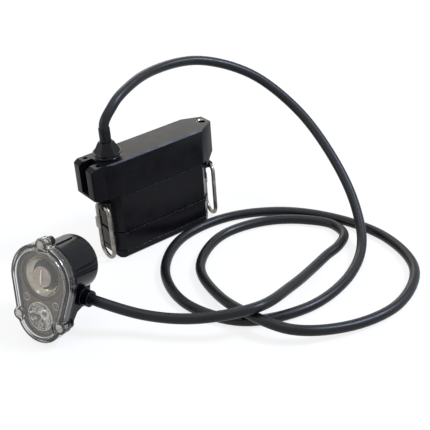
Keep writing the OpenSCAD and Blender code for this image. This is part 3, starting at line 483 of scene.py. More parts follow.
class Finish(Enum):
    """Every finish on the lamp: its name, colours, roughness and the sizes of its patterns."""

    # ABS case, satin: near black, with a faint even sheen and slightly polished patches.
    CASE = MouldedPlastic("satin_abs_case", "#08080a", "#0f0e12", (0.24, 0.34), 0.12)
    # The same ABS on the cover, which is handled more: a softer sheen and warmer patches.
    COVER = MouldedPlastic("satin_abs_cover", "#08080a", "#100f13", (0.25, 0.36), 0.09)
    # Nylon turned glossy by its polished mould: crisp glints on the cone's edges.
    GLAND = MouldedPlastic(
        "glossy_nylon_gland", "#050507", "#0a0a0c", (0.14, 0.24), 0.16, 0.8, 0.006
    )
    # ABS housing, semi-gloss: bluish black with a long soft highlight on the barrel.
    HEAD = MouldedPlastic(
        "satin_abs_headpiece", "#06070a", "#0b0c11", (0.16, 0.24), 0.17, 0.5, 0.005
    )
    # Edges of the shells, polished by wear, with a lighter bluish colour that is a painted
    # highlight: thin lines that are lighter than the faces.
    EDGE = MouldedPlastic(
        "worn_edge_and_painted_highlight", "#0b0c0f", "#131518", (0.2, 0.3), 0.16, 0.6, 0.004
    )
    # Powder-coated steel of the loop brackets: dull black with a pebbled skin.
    BRACKET = MouldedPlastic(
        "powder_coated_bracket", "#08080a", "#111113", (0.4, 0.55), 0.3, 0.9, 0.02
    )
    # Moulded nitrile seals: flat black that swallows light in the seams.
    SEAL = Rubber("moulded_seal_rubber", "#050506", "#0a0a0c")
    # Extruded jacket of the cord: charcoal with one soft highlight along each strand.
    JACKET = Rubber("extruded_cord_jacket", "#08090b", "#0f1013", (0.32, 0.44), 0.25)
    # Moulded rubber of the push button: a shade lighter than the barrel.
    BUTTON = Rubber("moulded_button_rubber", "#1c1c20", "#26262b")
    # Dark grey moulded holders of the cells, matt.
    HOLDER = MouldedPlastic(
        "moulded_cell_holder", "#1c1c20", "#242429", (0.45, 0.6), 0.4, 0.8, 0.02
    )
    # Shrunk PVC film round the cells: blue, smooth and glossy.
    CELL = MouldedPlastic("shrunk_cell_film", "#2b5f93", "#3a73a8", (0.2, 0.3), 0.5, 2.0, 0.01)
    # Rolled nickel strip between the cells: bright, brushed along the strip.
    NICKEL = DrawnSteel(
        "rolled_nickel_strap", "#c9c4b8", "#a9a498", (0.2, 0.35), 0.3, (20.0, 1.0, 1.0)
    )
    # Drawn steel wire of the belt loops: grey with lengthwise scratches and darker spots.
    LOOP = DrawnSteel("drawn_steel_wire", "#96928a", "#6f6b63", (0.26, 0.42))
    # Spring strip of the helmet hook under black paint: flat, a little uneven.
    HOOK = MouldedPlastic(
        "black_painted_strip", "#0a0a0b", "#18181a", (0.3, 0.45), 0.3, 0.9, 0.015
    )
    # Turned zinc-plated screws: pale metal with fine even marks.
    SCREW = DrawnSteel(
        "turned_steel_screw", "#c2beb6", "#9a968e", (0.2, 0.35), 0.4, (1.0, 1.0, 1.0)
    )
    # Polycarbonate cover: clear in the window, greyish in the thick flange.
    CLEAR = ClearPlastic(
        "clear_polycarbonate_cover", "#a8a196", 75.0, 1.58, (0.02, 0.07), 0.15
    )
    # Acrylic lenses: clearer than the cover, with polished faces.
    LENS = ClearPlastic(
        "clear_acrylic_lens", "#d8d4c8", 12.0, 1.49, (0.0, 0.02), 0.4, 9.0, 0.005
    )
    # Painted front of the plate: warm grey-brown with a weak sheen.
    PLATE = MouldedPlastic(
        "grey_metallised_plate", "#564a39", "#615541", (0.32, 0.45), 0.4, 0.6, 0.01
    )
    # Sides of the same plate, unpainted and black: a painted shadow line round it.
    PLATE_EDGE = MouldedPlastic(
        "black_plate_edge", "#0c0b0b", "#171615", (0.4, 0.5), 0.3, 0.6, 0.01
    )
    # Evaporated aluminium in the bowl, aged to olive: soft bright reflections.
    MIRROR = Metallised("metallised_reflector", "#b9b5a4", "#a39f8e")
    # The same coating at the cup's foot, painted darker: a painted dark reflection, a dark ring
    # round the lens.
    CUP_FOOT = Metallised("reflector_foot_painted_dark_reflection", "#5e5a4e", "#48453b", (0.28, 0.4))
    # Silvered back of the auxiliary lens: sharp white glints from its flutes.
    CONE = Metallised("silvered_lens_back", "#d9d8d2", "#c4c3bc", (0.03, 0.08))
    # Moulded lens holder: pinkish cream, seen through the front lens.
    LENS_HOLDER = MouldedPlastic(
        "cream_lens_holder", "#ecd4c0", "#f2dccb", (0.16, 0.24), 0.9, 0.6, 0.004
    )
    # Gilt beads on the lens, which paint the highlight streak of its rings: a bright cream line of
    # dots.
    EMITTER = Metallised("gilt_beads_painted_highlight", "#fff3dc", "#f6e4c0", (0.2, 0.3))
    # Tinted epoxy domes of the indicators: close to the plate's colour, with a glint.
    DIODE = MouldedPlastic(
        "milky_epoxy_dome", "#6b6358", "#7a7267", (0.06, 0.12), 0.7, 0.6, 0.002
    )
    # Circuit boards under green mask, with paler tracks.
    GREEN_BOARD = Board("green_circuit_board", "#1f5a36", "#2f7a4c")
    # Circuit boards under white mask, which carry the light sources.
    WHITE_BOARD = Board("white_circuit_board", "#dcdcd6", "#c8c8c0")
    # Phosphor gel over the main light source: yellow, slightly glossy.
    PHOSPHOR = MouldedPlastic(
        "phosphor_gel", "#e8cf62", "#f2e08a", (0.3, 0.4), 0.5, 0.4, 0.01
    )
    # Paler gel over the auxiliary light source, which leaves its lens colourless.
    PALE_PHOSPHOR = MouldedPlastic(
        "pale_phosphor_gel", "#a8a38f", "#bcb7a4", (0.3, 0.4), 0.5, 0.4, 0.01
    )
    # Machined aluminium heat sink: light grey with marks across.
    SINK = DrawnSteel(
        "machined_aluminium", "#b4b6b9", "#97999c", (0.25, 0.4), 0.3, (1.0, 12.0, 1.0)
    )

    @property
    def material(self) -> bpy.types.Material:
        """The finish's material, made once."""
        return bpy.data.materials.get(self.value.name) or self.value.build()


# ---------------------------------------------------------------- surfaces


class Body(Enum):
    """The bodies that pieces ride on."""

    LAMP = "lamp"
    NEAR_LOOP = "near_loop"
    FAR_LOOP = "far_loop"
    BUTTON = "button"


def link_object(name: str, mesh: bpy.types.Mesh, finish: Finish) -> bpy.types.Object:
    """Puts a mesh into the scene with its finish.

    Args:
        name: the piece's name.
        mesh: its mesh, with its place in its points.
        finish: what it is made of.

    Returns:
        The new object, at the origin.
    """
    piece = bpy.data.objects.new(name, mesh)
    bpy.context.scene.collection.objects.link(piece)
    mesh.materials.clear()
    mesh.materials.append(finish.material)
    return piece


def face_out(mesh: bpy.types.Mesh, keep_sharp_deg: float = 40.0) -> None:
    """Merges doubles, turns all faces outwards and shades them smooth up to an angle.

    Args:
        mesh: the mesh to clean.
        keep_sharp_deg: edges that bend more than this stay sharp.
    """
    work = bmesh.new()
    work.from_mesh(mesh)
    bmesh.ops.remove_doubles(work, verts=work.verts, dist=DOUBLE)
    bmesh.ops.dissolve_degenerate(work, edges=work.edges, dist=DEGENERATE)
    bmesh.ops.recalc_face_normals(work, faces=work.faces)
    limit = math.radians(keep_sharp_deg)
    for face in work.faces:
        face.smooth = True
    for edge in work.edges:
        edge.smooth = edge.calc_face_angle(0.0) < limit
    work.to_mesh(mesh)
    work.free()


def ring_surface(name: str, rings: Array, closed: bool = False) -> bpy.types.Mesh:
    """Joins rings of points into one skin, and fills both ends if it isn't closed.

    A point is rings[i, j]: i runs along the profile and j round the ring.

    Args:
        name: the mesh's name.
        rings: an array of rings by points by 3, in metres.
        closed: joins the last ring to the first.

    Returns:
        The mesh.
    """
    count, around = rings.shape[:2]
    along = count if closed else count - 1
    i, j = np.meshgrid(np.arange(along), np.arange(around), indexing="ij")
    nxt_i, nxt_j = (i + 1) % count, (j + 1) % around
    corners = ((i, j), (i, nxt_j), (nxt_i, nxt_j), (nxt_i, j))
    quads = np.stack([ring * around + point for ring, point in corners], -1)
    faces = quads.reshape(-1, 4).tolist()
    if not closed:
        faces += [list(range(around))[::-1], list(range((count - 1) * around, count * around))]
    mesh = bpy.data.meshes.new(name)
    mesh.from_pydata(rings.reshape(-1, 3).tolist(), [], faces)
    return mesh


def circle_ways(around: int) -> Array:
    """Unit vectors round a circle, anticlockwise, as an array of points by 2."""
    turn = np.arange(around) * (2 * math.pi / around)
    return np.stack([np.cos(turn), np.sin(turn)], -1)


def turned_profile(name: str, profile: Profile, around: int) -> bpy.types.Mesh:
    """Turns a closed profile of radius and height round the z axis.

    A point is (r cos a, r sin a, z); points on the axis merge to a pole.

    Args:
        name: the mesh's name.
        profile: radius and height of each point, in millimetres.
        around: points round each ring.

    Returns:
        The mesh, in metres.
    """
    sizes = np.array(profile) * MM
    ways = circle_ways(around)
    flat = sizes[:, None, :1] * ways[None]
    rings = np.concatenate([flat, np.broadcast_to(sizes[:, None, 1:], (*flat.shape[:2], 1))], -1)
    mesh = ring_surface(name, rings, closed=True)
    face_out(mesh)
    return mesh


def arc(
    centre: Sequence[float], radius: float, start: float, end: float, steps: int
) -> Profile:
    """Points on an arc: the centre plus the radius times cosine and sine of the angle.

    Args:
        centre: the arc's middle.
        radius: its radius.
        start: first angle in degrees.
        end: last angle in degrees.
        steps: number of steps.

    Returns:
        The points.
    """
    turn = np.radians(np.linspace(start, end, steps + 1))
    return [(centre[0] + radius * math.cos(a), centre[1] + radius * math.sin(a)) for a in turn]


def rounded_edge(radius: float, top: float, turn: Array) -> Profile:
    """Rings of a rounded edge, each as its step out from the outline and its height.

    A ring lies radius (1 - cos a) inside the outline and radius (1 - sin a) under the top.

    Args:
        radius: the rounding's radius.
        top: height of the face that the edge runs into.
        turn: the angle of each ring, 0 at the side and a quarter turn at the top.

    Returns:
        Step and height of each ring.
    """
    return [(radius * math.cos(a) - radius, top - radius + radius * math.sin(a)) for a in turn]


def move_points(mesh: bpy.types.Mesh, change: Callable[[Array], Array]) -> bpy.types.Mesh:
    """Moves the points of a mesh.

    Args:
        mesh: the mesh.
        change: takes the points, in metres, and gives the new ones.

    Returns:
        The same mesh.
    """
    flat = np.empty(len(mesh.vertices) * 3)
    mesh.vertices.foreach_get("co", flat)
    mesh.vertices.foreach_set("co", change(flat.reshape(-1, 3)).ravel())
    mesh.update()
    return mesh


def carried_sides(ways: Array, first: Sequence[float]) -> Array:
    """Carries a side vector along a path without twist, each step made square to the path.

    Args:
        ways: unit directions along the path.
        first: a vector that isn't along the first direction.

    Returns:
        A unit side vector for each point.
    """
    sides = np.empty_like(ways)
    side = np.array(first, float)
    for i, way in enumerate(ways):
        side = side - (side @ way) * way
        side /= np.linalg.norm(side)
        sides[i] = side
    return sides


def tube(
    name: str, path: Array, ways: Array, radius: Array | float, around: int, closed: bool = False
) -> bpy.types.Mesh:
    """Sweeps a circle along a path: centre + radius (cos a side + sin a (way x side)).

    Args:
        name: the mesh's name.
        path: the centres, in metres.
        ways: unit directions along the path.
        radius: the radius, one number or one for each centre.
        around: points round each ring.
        closed: joins the end to the start.

    Returns:
        The mesh.
    """
    # The x axis serves as first side unless the path starts out along it.
    first = (1.0, 0.0, 0.0) if abs(ways[0][0]) < 0.9 else (0.0, 1.0, 0.0)
    sides = carried_sides(ways, first)
    others = np.cross(ways, sides)
    circle = circle_ways(around)
    width = np.broadcast_to(np.asarray(radius, float), (len(path),))[:, None, None]
    offsets = circle[None, :, :1] * sides[:, None] + circle[None, :, 1:] * others[:, None]
    mesh = ring_surface(name, path[:, None] + width * offsets, closed)
    face_out(mesh)
    return mesh


def softened(
    node: str, name: str, finish: Finish, width_mm: float, edge_wear_and_highlight: Finish | None = None
) -> bpy.types.Object:
    """A copy of a hard solid with its edges rounded, which stands for it.

    Args:
        node: the solid's name.
        name: the piece's name.
        finish: what it is made of.
        width_mm: the size of the rounding.
        edge_wear_and_highlight: the finish of the rounded edges, where handling has polished them
            and a lighter colour paints a highlight.

    Returns:
        The piece.
    """
    mesh = bpy.data.objects[node].data.copy()
    mesh.name = name
    work = bmesh.new()
    work.from_mesh(mesh)
    bmesh.ops.remove_doubles(work, verts=work.verts, dist=SOLID_DOUBLE)
    bmesh.ops.dissolve_limit(
        work, angle_limit=FLAT_ANGLE, verts=work.verts, edges=work.edges
    )
    for face in work.faces:
        face.smooth = True
    for edge in work.edges:
        edge.smooth = edge.calc_face_angle(0.0) < EDGE_ANGLE
    work.to_mesh(mesh)
    work.free()
    piece = link_object(name, mesh, finish)
    rounding = piece.modifiers.new("edge_rounding", "BEVEL")
    rounding.width = width_mm * MM
    rounding.segments = EDGE_SEGMENTS
    rounding.limit_method = "ANGLE"
    rounding.angle_limit = EDGE_ANGLE
    rounding.use_clamp_overlap = True
    rounding.harden_normals = True
    rounding.miter_outer = "MITER_ARC"
    # The rounded edges get a second finish, whose lighter colour paints a highlight along them.
    if edge_wear_and_highlight is not None:
        mesh.materials.append(edge_wear_and_highlight.material)
        rounding.material = len(mesh.materials) - 1
    return piece


def stand_for(piece: bpy.types.Object, body: Body, slot: str, *nodes: str) -> None:
    """Registers a piece: what it moves with and the solids it stands for.

    Args:
        piece: the object.
        body: the body it rides on.
        slot: the record's material slot; not used.
        nodes: the solids that it replaces.
    """
    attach(piece, body.value)
    if nodes:
        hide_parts(*nodes)
    stood_for = ", ".join(nodes) or "nothing"
    LOG.info("%s rides on %s and stands for %s", piece.name, body.value, stood_for)


def dress(node: str, finish: Finish) -> None:
    """Gives a solid that stays its finish.

    Args:
        node: the solid's name.
        finish: what it is made of.
    """
    solid = bpy.data.objects[node]
    solid.data.materials.clear()
    solid.data.materials.append(finish.material)
    LOG.info("%s stays, dressed in %s", node, finish.value.name)


# ---------------------------------------------------------------- headpiece frame


@dataclass(frozen=True)
class HeadFrame:
    """Where the headpiece lies: x to its right, y up its face, z out of its lenses.

    Turn, lean and roll are in degrees. The foot is the gap under the rear edge of the chin,
    a circle of radius chin_r with its middle at chin_y and flange_back.
    """

    x: float = -139.8
    y: float = -65.6
    turn: float = -67.5
    lean: float = 12.5
    roll: float = -2.5
    foot: float = 0.25
    chin_y: float = -30.6
    chin_r: float = 20.2
    flange_back: float = -7.2

    @staticmethod
    def about(axis: int, degrees: float) -> Array:
        """Rotation matrix about one axis.

        Args:
            axis: the axis's number, 0 to 2.
            degrees: the angle, anticlockwise seen against the axis.

        Returns:
            A matrix of 3 by 3.
        """
        c, s = math.cos(math.radians(degrees)), math.sin(math.radians(degrees))
        a, b = (axis + 1) % 3, (axis + 2) % 3
        matrix = np.eye(3)
        matrix[a, a] = matrix[b, b] = c
        matrix[a, b], matrix[b, a] = -s, s
        return matrix

    @property
    def matrix(self) -> Array:
        """Columns are the headpiece's axes in the lamp's frame."""
        return self.about(2, self.turn) @ self.about(0, 90 - self.lean) @ self.about(2, self.roll)

    @property
    def place(self) -> Array:
        """The middle of the main lens, with the chin's rear edge near the floor.

        The lowest point of the edge's circle lies radius times hypot(up x, up y) under its
        middle, where up is the lamp's z axis in the headpiece's frame.

        Returns:
            The point in the lamp's frame, in millimetres.
        """
        up = self.matrix[2]
        reach = self.chin_r * math.hypot(up[0], up[1])
        low = self.chin_y * up[1] - reach + self.flange_back * up[2]
        return np.array([self.x, self.y, self.foot - low])

    def put(self, points: Array) -> Array:
        """Takes points in the headpiece's frame, in millimetres, to the lamp's frame in metres."""
        return (np.asarray(points) @ self.matrix.T + self.place) * MM

    def move(self, mesh: bpy.types.Mesh, at: Sequence[float] = (0.0, 0.0)) -> bpy.types.Mesh:
        """Moves a mesh made round the origin, in metres, to a place on the face.

        Args:
            mesh: the mesh.
            at: x and y of its middle on the face, in millimetres.

        Returns:
            The same mesh.
        """
        shift = np.array([at[0], at[1], 0.0])
        return move_points(mesh, lambda points: self.put(points / MM + shift))


HEAD = HeadFrame()


def face_places(
    mesh: bpy.types.Mesh, at: tuple[float, float] = (0.0, 0.0)
) -> tuple[Array, Array]:
    """Distance from an axis through the headpiece's face, and height, of every polygon.

    Args:
        mesh: a mesh that is already in place.
        at: where the axis crosses the face.

    Returns:
        The distances and the heights, in millimetres.
    """
    centres = np.empty(len(mesh.polygons) * 3)
    mesh.polygons.foreach_get("center", centres)
    local = (centres.reshape(-1, 3) / MM - HEAD.place) @ HEAD.matrix
    return np.hypot(local[:, 0] - at[0], local[:, 1] - at[1]), local[:, 2]


def add_finish(piece: bpy.types.Object, finish: Finish, where: Array) -> None:
    """Gives part of a piece another finish.

    Args:
        piece: the piece.
        finish: the finish that is added to it.
        where: true for each polygon that gets it.
    """
    mesh = piece.data
    mesh.materials.append(finish.material)
    index = np.empty(len(mesh.polygons), np.int32)
    mesh.polygons.foreach_get("material_index", index)
    index[where] = len(mesh.materials) - 1
    mesh.polygons.foreach_set("material_index", index)


# ---------------------------------------------------------------- cord


@dataclass
class Cord:
    """The free cord from the battery's gland to the headpiece's, lying in loose loops."""

    diameter: float = 8.0
    # Its end in the battery's gland, in the lamp's frame.
    gland: tuple[float, float, float] = (-38.5, 0.0, 112.1)
    # Its end in the headpiece's gland and a point straight outside it, in that frame.
    exit_local: tuple[float, float, float] = (25.0, -19.5, -26.0)
    lead_local: tuple[float, float, float] = (33.0, -19.5, -26.0)
    around: int = 32
    steps: int = 8
    floor_gap: float = 0.1
    # Points of the middle line in the lamp's frame. A strand lies on the floor at 4.1 mm.
    route: tuple[tuple[float, float, float], ...] = (
        (-26.6, 2.9, 126.1), (-3, 12.6, 133.1), (31.5, 24.5, 133.7), (74.9, 25, 128.4),
        (113.2, 5.5, 110.7), (132.4, -30.9, 83.6), (133.9, -71.5, 54.9), (124, -111, 26.5),
        (105.9, -138.4, 9.5), (65.4, -163.8, 4.1), (16.5, -171.4, 4.1), (-28.6, -152.1, 4.1),
        (-46.9, -106.5, 4.1), (-33.4, -59.2, 4.1), (5.4, -27.6, 4.1), (53.7, -26.5, 4.1),
        (95.9, -52.1, 4.1), (121.4, -94.6, 4.1), (129, -143.6, 4.1), (111.9, -189.3, 4.1),
        (67.9, -213.5, 4.1), (18.9, -208.7, 6), (-15.9, -189.4, 11), (-28, -156.7, 13.1),
        (-24.7, -117.8, 7.1), (-7.2, -71, 4.1), (35, -47, 4.1), (77.4, -56.2, 4.1),
        (100.5, -76.3, 4.1), (112.1, -99, 4.1), (108, -115.6, 4.1), (92.5, -125.4, 4.1),
        (75.5, -129.4, 4.1), (60.2, -134.5, 4.7), (18.4, -152, 12.7), (-26.8, -165, 21.9),
        (-65.5, -137.8, 16.7), (-87.5, -111.2, 16.8),
    )

    def knots(self) -> Array:
        """The route's points from gland to gland, in metres."""
        ends = HEAD.put(np.array([self.lead_local, self.exit_local]))
        return np.vstack([np.array([self.gland, *self.route]) * MM, ends])

    def centre_line(self) -> tuple[Array, Array]:
        """Smooth path through the knots and its directions.

        Each stretch is a cubic Hermite curve. A knot's direction weighs its two chords by
        the other's length, and the ends are square to the glands.

        Returns:
            The points in metres and the unit direction at each.
        """
        knots = self.knots()
        chords = np.diff(knots, axis=0)
        lengths = np.linalg.norm(chords, axis=1)[:, None]
        units = chords / lengths
        before, after = lengths[:-1], lengths[1:]
        middle = (units[1:] * before + units[:-1] * after) / (after + before)
        ways = np.vstack([[0.0, 0.0, 1.0], middle, -HEAD.matrix[:, 0]])
        t = (np.arange(self.steps) / self.steps)[None, :, None]
        a, b, d = knots[:-1, None], knots[1:, None], lengths[:, None]
        path = (
            (2 * t**3 - 3 * t**2 + 1) * a
            + (t**3 - 2 * t**2 + t) * d * ways[:-1, None]
            + (3 * t**2 - 2 * t**3) * b
            + (t**3 - t**2) * d * ways[1:, None]
        )
        path = np.vstack([path.reshape(-1, 3), knots[-1:]])
        path[:, 2] = np.maximum(path[:, 2], (self.diameter / 2 + self.floor_gap) * MM)
        along = np.gradient(path, axis=0)
        along[0], along[-1] = ways[0], ways[-1]
        return path, along / np.linalg.norm(along, axis=1)[:, None]

    def build(self) -> None:
        path, ways = self.centre_line()
        mesh = tube("cord_jacket", path, ways, self.diameter / 2 * MM, self.around)
        piece = link_object("cord_jacket", mesh, Finish.JACKET)
        stand_for(piece, Body.LAMP, "cord_rubber", "cord")


# ---------------------------------------------------------------- battery


@dataclass
class Battery:
    """The belt battery: base cap, case, cover with fork and tip, and what is inside."""

    base_edge: float = 0.7
    case_edge: float = 0.3
    cover_edge: float = 0.5
    tip_hole: tuple[float, float] = (54.5, 0.0)
    top: float = 87.5
    mouth_depth: float = 1.6
    # The eyelet: its flange's radius, its lip's middle, rounding and drop, and its throat.
    flange_r: float = 4.5
    lip_r: float = 4.15
    lip_round: float = 0.35
    lip_drop: float = 0.55
    throat: tuple[float, float] = (3.5, 0.95)
    # Radius in the bore and height over the mouth's floor.
    funnel: tuple[tuple[float, float], ...] = ((3.12, 0.35), (3.08, 0.05))

    def eyelet(self) -> bpy.types.Mesh:
        """A pressed steel eyelet: its flange fills the hole's mouth and funnels into the bore.

        Returns:
            The mesh, in place.
        """
        floor = self.top - self.mouth_depth
        lip = arc((self.lip_r, self.top - self.lip_drop), self.lip_round, 0, 150, 8)
        throat = (self.throat[0], self.top - self.throat[1])
        funnel = [(radius, floor + up) for radius, up in self.funnel]
        flange = (self.flange_r, funnel[-1][1])
        mesh = turned_profile("tip_eyelet", [*lip, throat, *funnel, flange], 64)
        shift = np.array([*self.tip_hole, 0.0]) * MM
        return move_points(mesh, lambda points: points + shift)

    def build(self) -> None:
        """Rounds the three shells, sets the eyelet and dresses the rest."""
        for node, finish, edge, edge_wear_and_highlight in (
            ("base_cap", Finish.CASE, self.base_edge, Finish.EDGE),
            ("battery_case", Finish.CASE, self.case_edge, None),
            ("top_cover", Finish.COVER, self.cover_edge, Finish.EDGE),
        ):
            piece = softened(node, f"{node}_shell", finish, edge, edge_wear_and_highlight)
            stand_for(piece, Body.LAMP, "case_black", node)
        stand_for(link_object("tip_eyelet", self.eyelet(), Finish.LOOP), Body.LAMP, "screw_steel")
        dress("case_gasket", Finish.SEAL)
        dress("case_screws", Finish.SCREW)
        for node in ("holder_lower", "holder_upper"):
            dress(node, Finish.HOLDER)
        for number in range(1, 5):
            dress(f"cell_{number}", Finish.CELL)
        dress("cell_straps", Finish.NICKEL)
        dress("protection_board", Finish.GREEN_BOARD)


@dataclass
class BatteryGland:
    """Cable gland on the cover: flared collar, six-sided cone nut and rubber sleeve."""

    edge: float = 0.35

    def build(self) -> None:
        """Rounds the collar, nut and sleeve."""
        for node, name in (("gland_collar", "gland_collar_body"), ("gland_nut", "gland_cone_nut")):
            piece = softened(node, name, Finish.GLAND, self.edge, Finish.EDGE)
            stand_for(piece, Body.LAMP, "gland_black", node)
        sleeve = softened("gland_sleeve", "gland_rubber_sleeve", Finish.SEAL, self.edge)
        stand_for(sleeve, Body.LAMP, "cord_rubber", "gland_sleeve")
        dress("gland_seal", Finish.SEAL)
        dress("cord_end_battery", Finish.JACKET)


@dataclass
class BeltLoop:
    """A closed loop of wire that hangs from its upper bar."""

    name: str
    body: Body
    node: str
    bar: tuple[float, float, float]
    yaw: float = 0.0
    wire: float = 3.4
    width: float = 18.0
    corner: float = 5.0
    depth: float = 47.4
    sleeve_drop: float = 13.4
    sleeve_length: float = 10.0
    sleeve_rise: float = 0.9
    sleeve_out: float = 0.7
    sleeve_taper: float = 0.9
    corner_steps: int = 14
    end_steps: int = 40
    leg_steps: int = 40
    bar_steps: int = 8
    around: int = 24

    def flat_path(self) -> tuple[Array, Array]:
        """The wire's middle line: corner, leg, half round, leg, corner, bar, and its directions.

        The path is a row of arcs and straight lines in the plane of y and z. A point's
        direction is the unit vector from the point before it to the one after it.

        Returns:
            The points in millimetres and the directions, each an array of points by 2.
        """
        half, corner = self.width / 2, self.corner
        low = half - self.depth
        legs = np.linspace(-corner, low, self.leg_steps + 1)[1:-1]
        right = arc((half - corner, -corner), corner, 90, 0, self.corner_steps)
        down = [(half, z) for z in legs]
        round_end = arc((0.0, low), half, 0, -180, self.end_steps)
        up = [(-half, z) for z in legs[::-1]]
        left = arc((corner - half, -corner), corner, 180, 90, self.corner_steps)
        across = np.linspace(corner - half, half - corner, self.bar_steps + 1)[1:-1]
        bar = [(y, 0.0) for y in across]
        points = np.array([*right, *down, *round_end, *up, *left, *bar])
        ahead = np.roll(points, -1, 0) - np.roll(points, 1, 0)
        return points, ahead / np.linalg.norm(ahead, axis=1)[:, None]

    def build(self) -> None:
        """Sweeps the wire, thicker along its swaged sleeve, and turns the loop into place.

        The sleeve's ends are quarter ellipses: sqrt(1 - (1 - way in / taper)^2).
        """
        points, ways = self.flat_path()
        start = -self.sleeve_drop
        end = start - self.sleeve_length
        # The sleeve sits on the right leg, which is the widest part of the path.
        on_leg = points[:, 0] > self.width / 2 - 0.01
        way_in = np.minimum(start - points[:, 1], points[:, 1] - end)
        ramp = np.clip(way_in / self.sleeve_taper, 0, 1)
        swell = np.where(on_leg, np.sqrt(1 - (1 - ramp) ** 2), 0)
        points = points + np.outer(swell * self.sleeve_out, [1.0, 0.0])
        turn = HeadFrame.about(2, self.yaw)

        def lift(flat: Array) -> Array:
            """Takes points or directions from the loop's plane to the lamp's frame."""
            return np.column_stack([np.zeros(len(flat)), flat]) @ turn.T

        path = (lift(points) + np.array(self.bar)) * MM
        radius = (self.wire / 2 + swell * self.sleeve_rise) * MM
        mesh = tube(self.name, path, lift(ways), radius, self.around, closed=True)
        piece = link_object(self.name, mesh, Finish.LOOP)
        stand_for(piece, self.body, "loop_steel", self.node)


@dataclass
class LoopBrackets:
    """The riveted brackets that the belt loops hang from."""

    edge: float = 0.35

    def build(self) -> None:
        """Rounds both brackets and dresses their rivets."""
        for side in ("near", "far"):
            node = f"loop_bracket_{side}"
            piece = softened(node, f"{side}_loop_lug", Finish.BRACKET, self.edge)
            stand_for(piece, Body.LAMP, "bracket_black", node)
        dress("bracket_rivets", Finish.SCREW)


# ---------------------------------------------------------------- headpiece


@dataclass
class HeadBody:
    """Housing, rear cap, cord gland, push switch and helmet hook."""

    edge: float = 0.6
    small_edge: float = 0.4
    gland_edge: float = 0.5
    button_edge: float = 0.8

    def build(self) -> None:
        """Rounds the outer shells and dresses the rest."""
        for node, name, finish, slot, edge in (
            ("head_housing", "headpiece_housing", Finish.HEAD, "head_black", self.edge),
            ("rear_cap", "headpiece_rear_cap", Finish.HEAD, "head_black", self.small_edge),
            ("switch_bush", "switch_bush_ring", Finish.HEAD, "head_black", self.small_edge),
            ("helmet_hook", "helmet_hook_strip", Finish.HOOK, "hook_steel", self.small_edge),
            ("head_gland_body", "headpiece_gland_body", Finish.HEAD, "head_black", self.gland_edge),
            ("head_gland_nut", "headpiece_gland_nut", Finish.HEAD, "head_black", self.gland_edge),
        ):
            stand_for(softened(node, name, finish, edge, Finish.EDGE), Body.LAMP, slot, node)
        button = softened("switch_button", "push_button", Finish.BUTTON, self.button_edge)
        stand_for(button, Body.BUTTON, "button_rubber", "switch_button")
        for node, finish in (
            ("hook_screws", Finish.SCREW),
            ("head_gland_seal", Finish.SEAL),
            ("cord_end_head", Finish.JACKET),
            ("tact_switch", Finish.GLAND),
            ("switch_board", Finish.GREEN_BOARD),
            ("driver_board", Finish.GREEN_BOARD),
            ("heat_sink", Finish.SINK),
            ("led_board", Finish.WHITE_BOARD),
            ("aux_board", Finish.WHITE_BOARD),
            ("main_led", Finish.PHOSPHOR),
            ("aux_led", Finish.PALE_PHOSPHOR),
            ("cover_seal", Finish.SEAL),
        ):
            dress(node, finish)


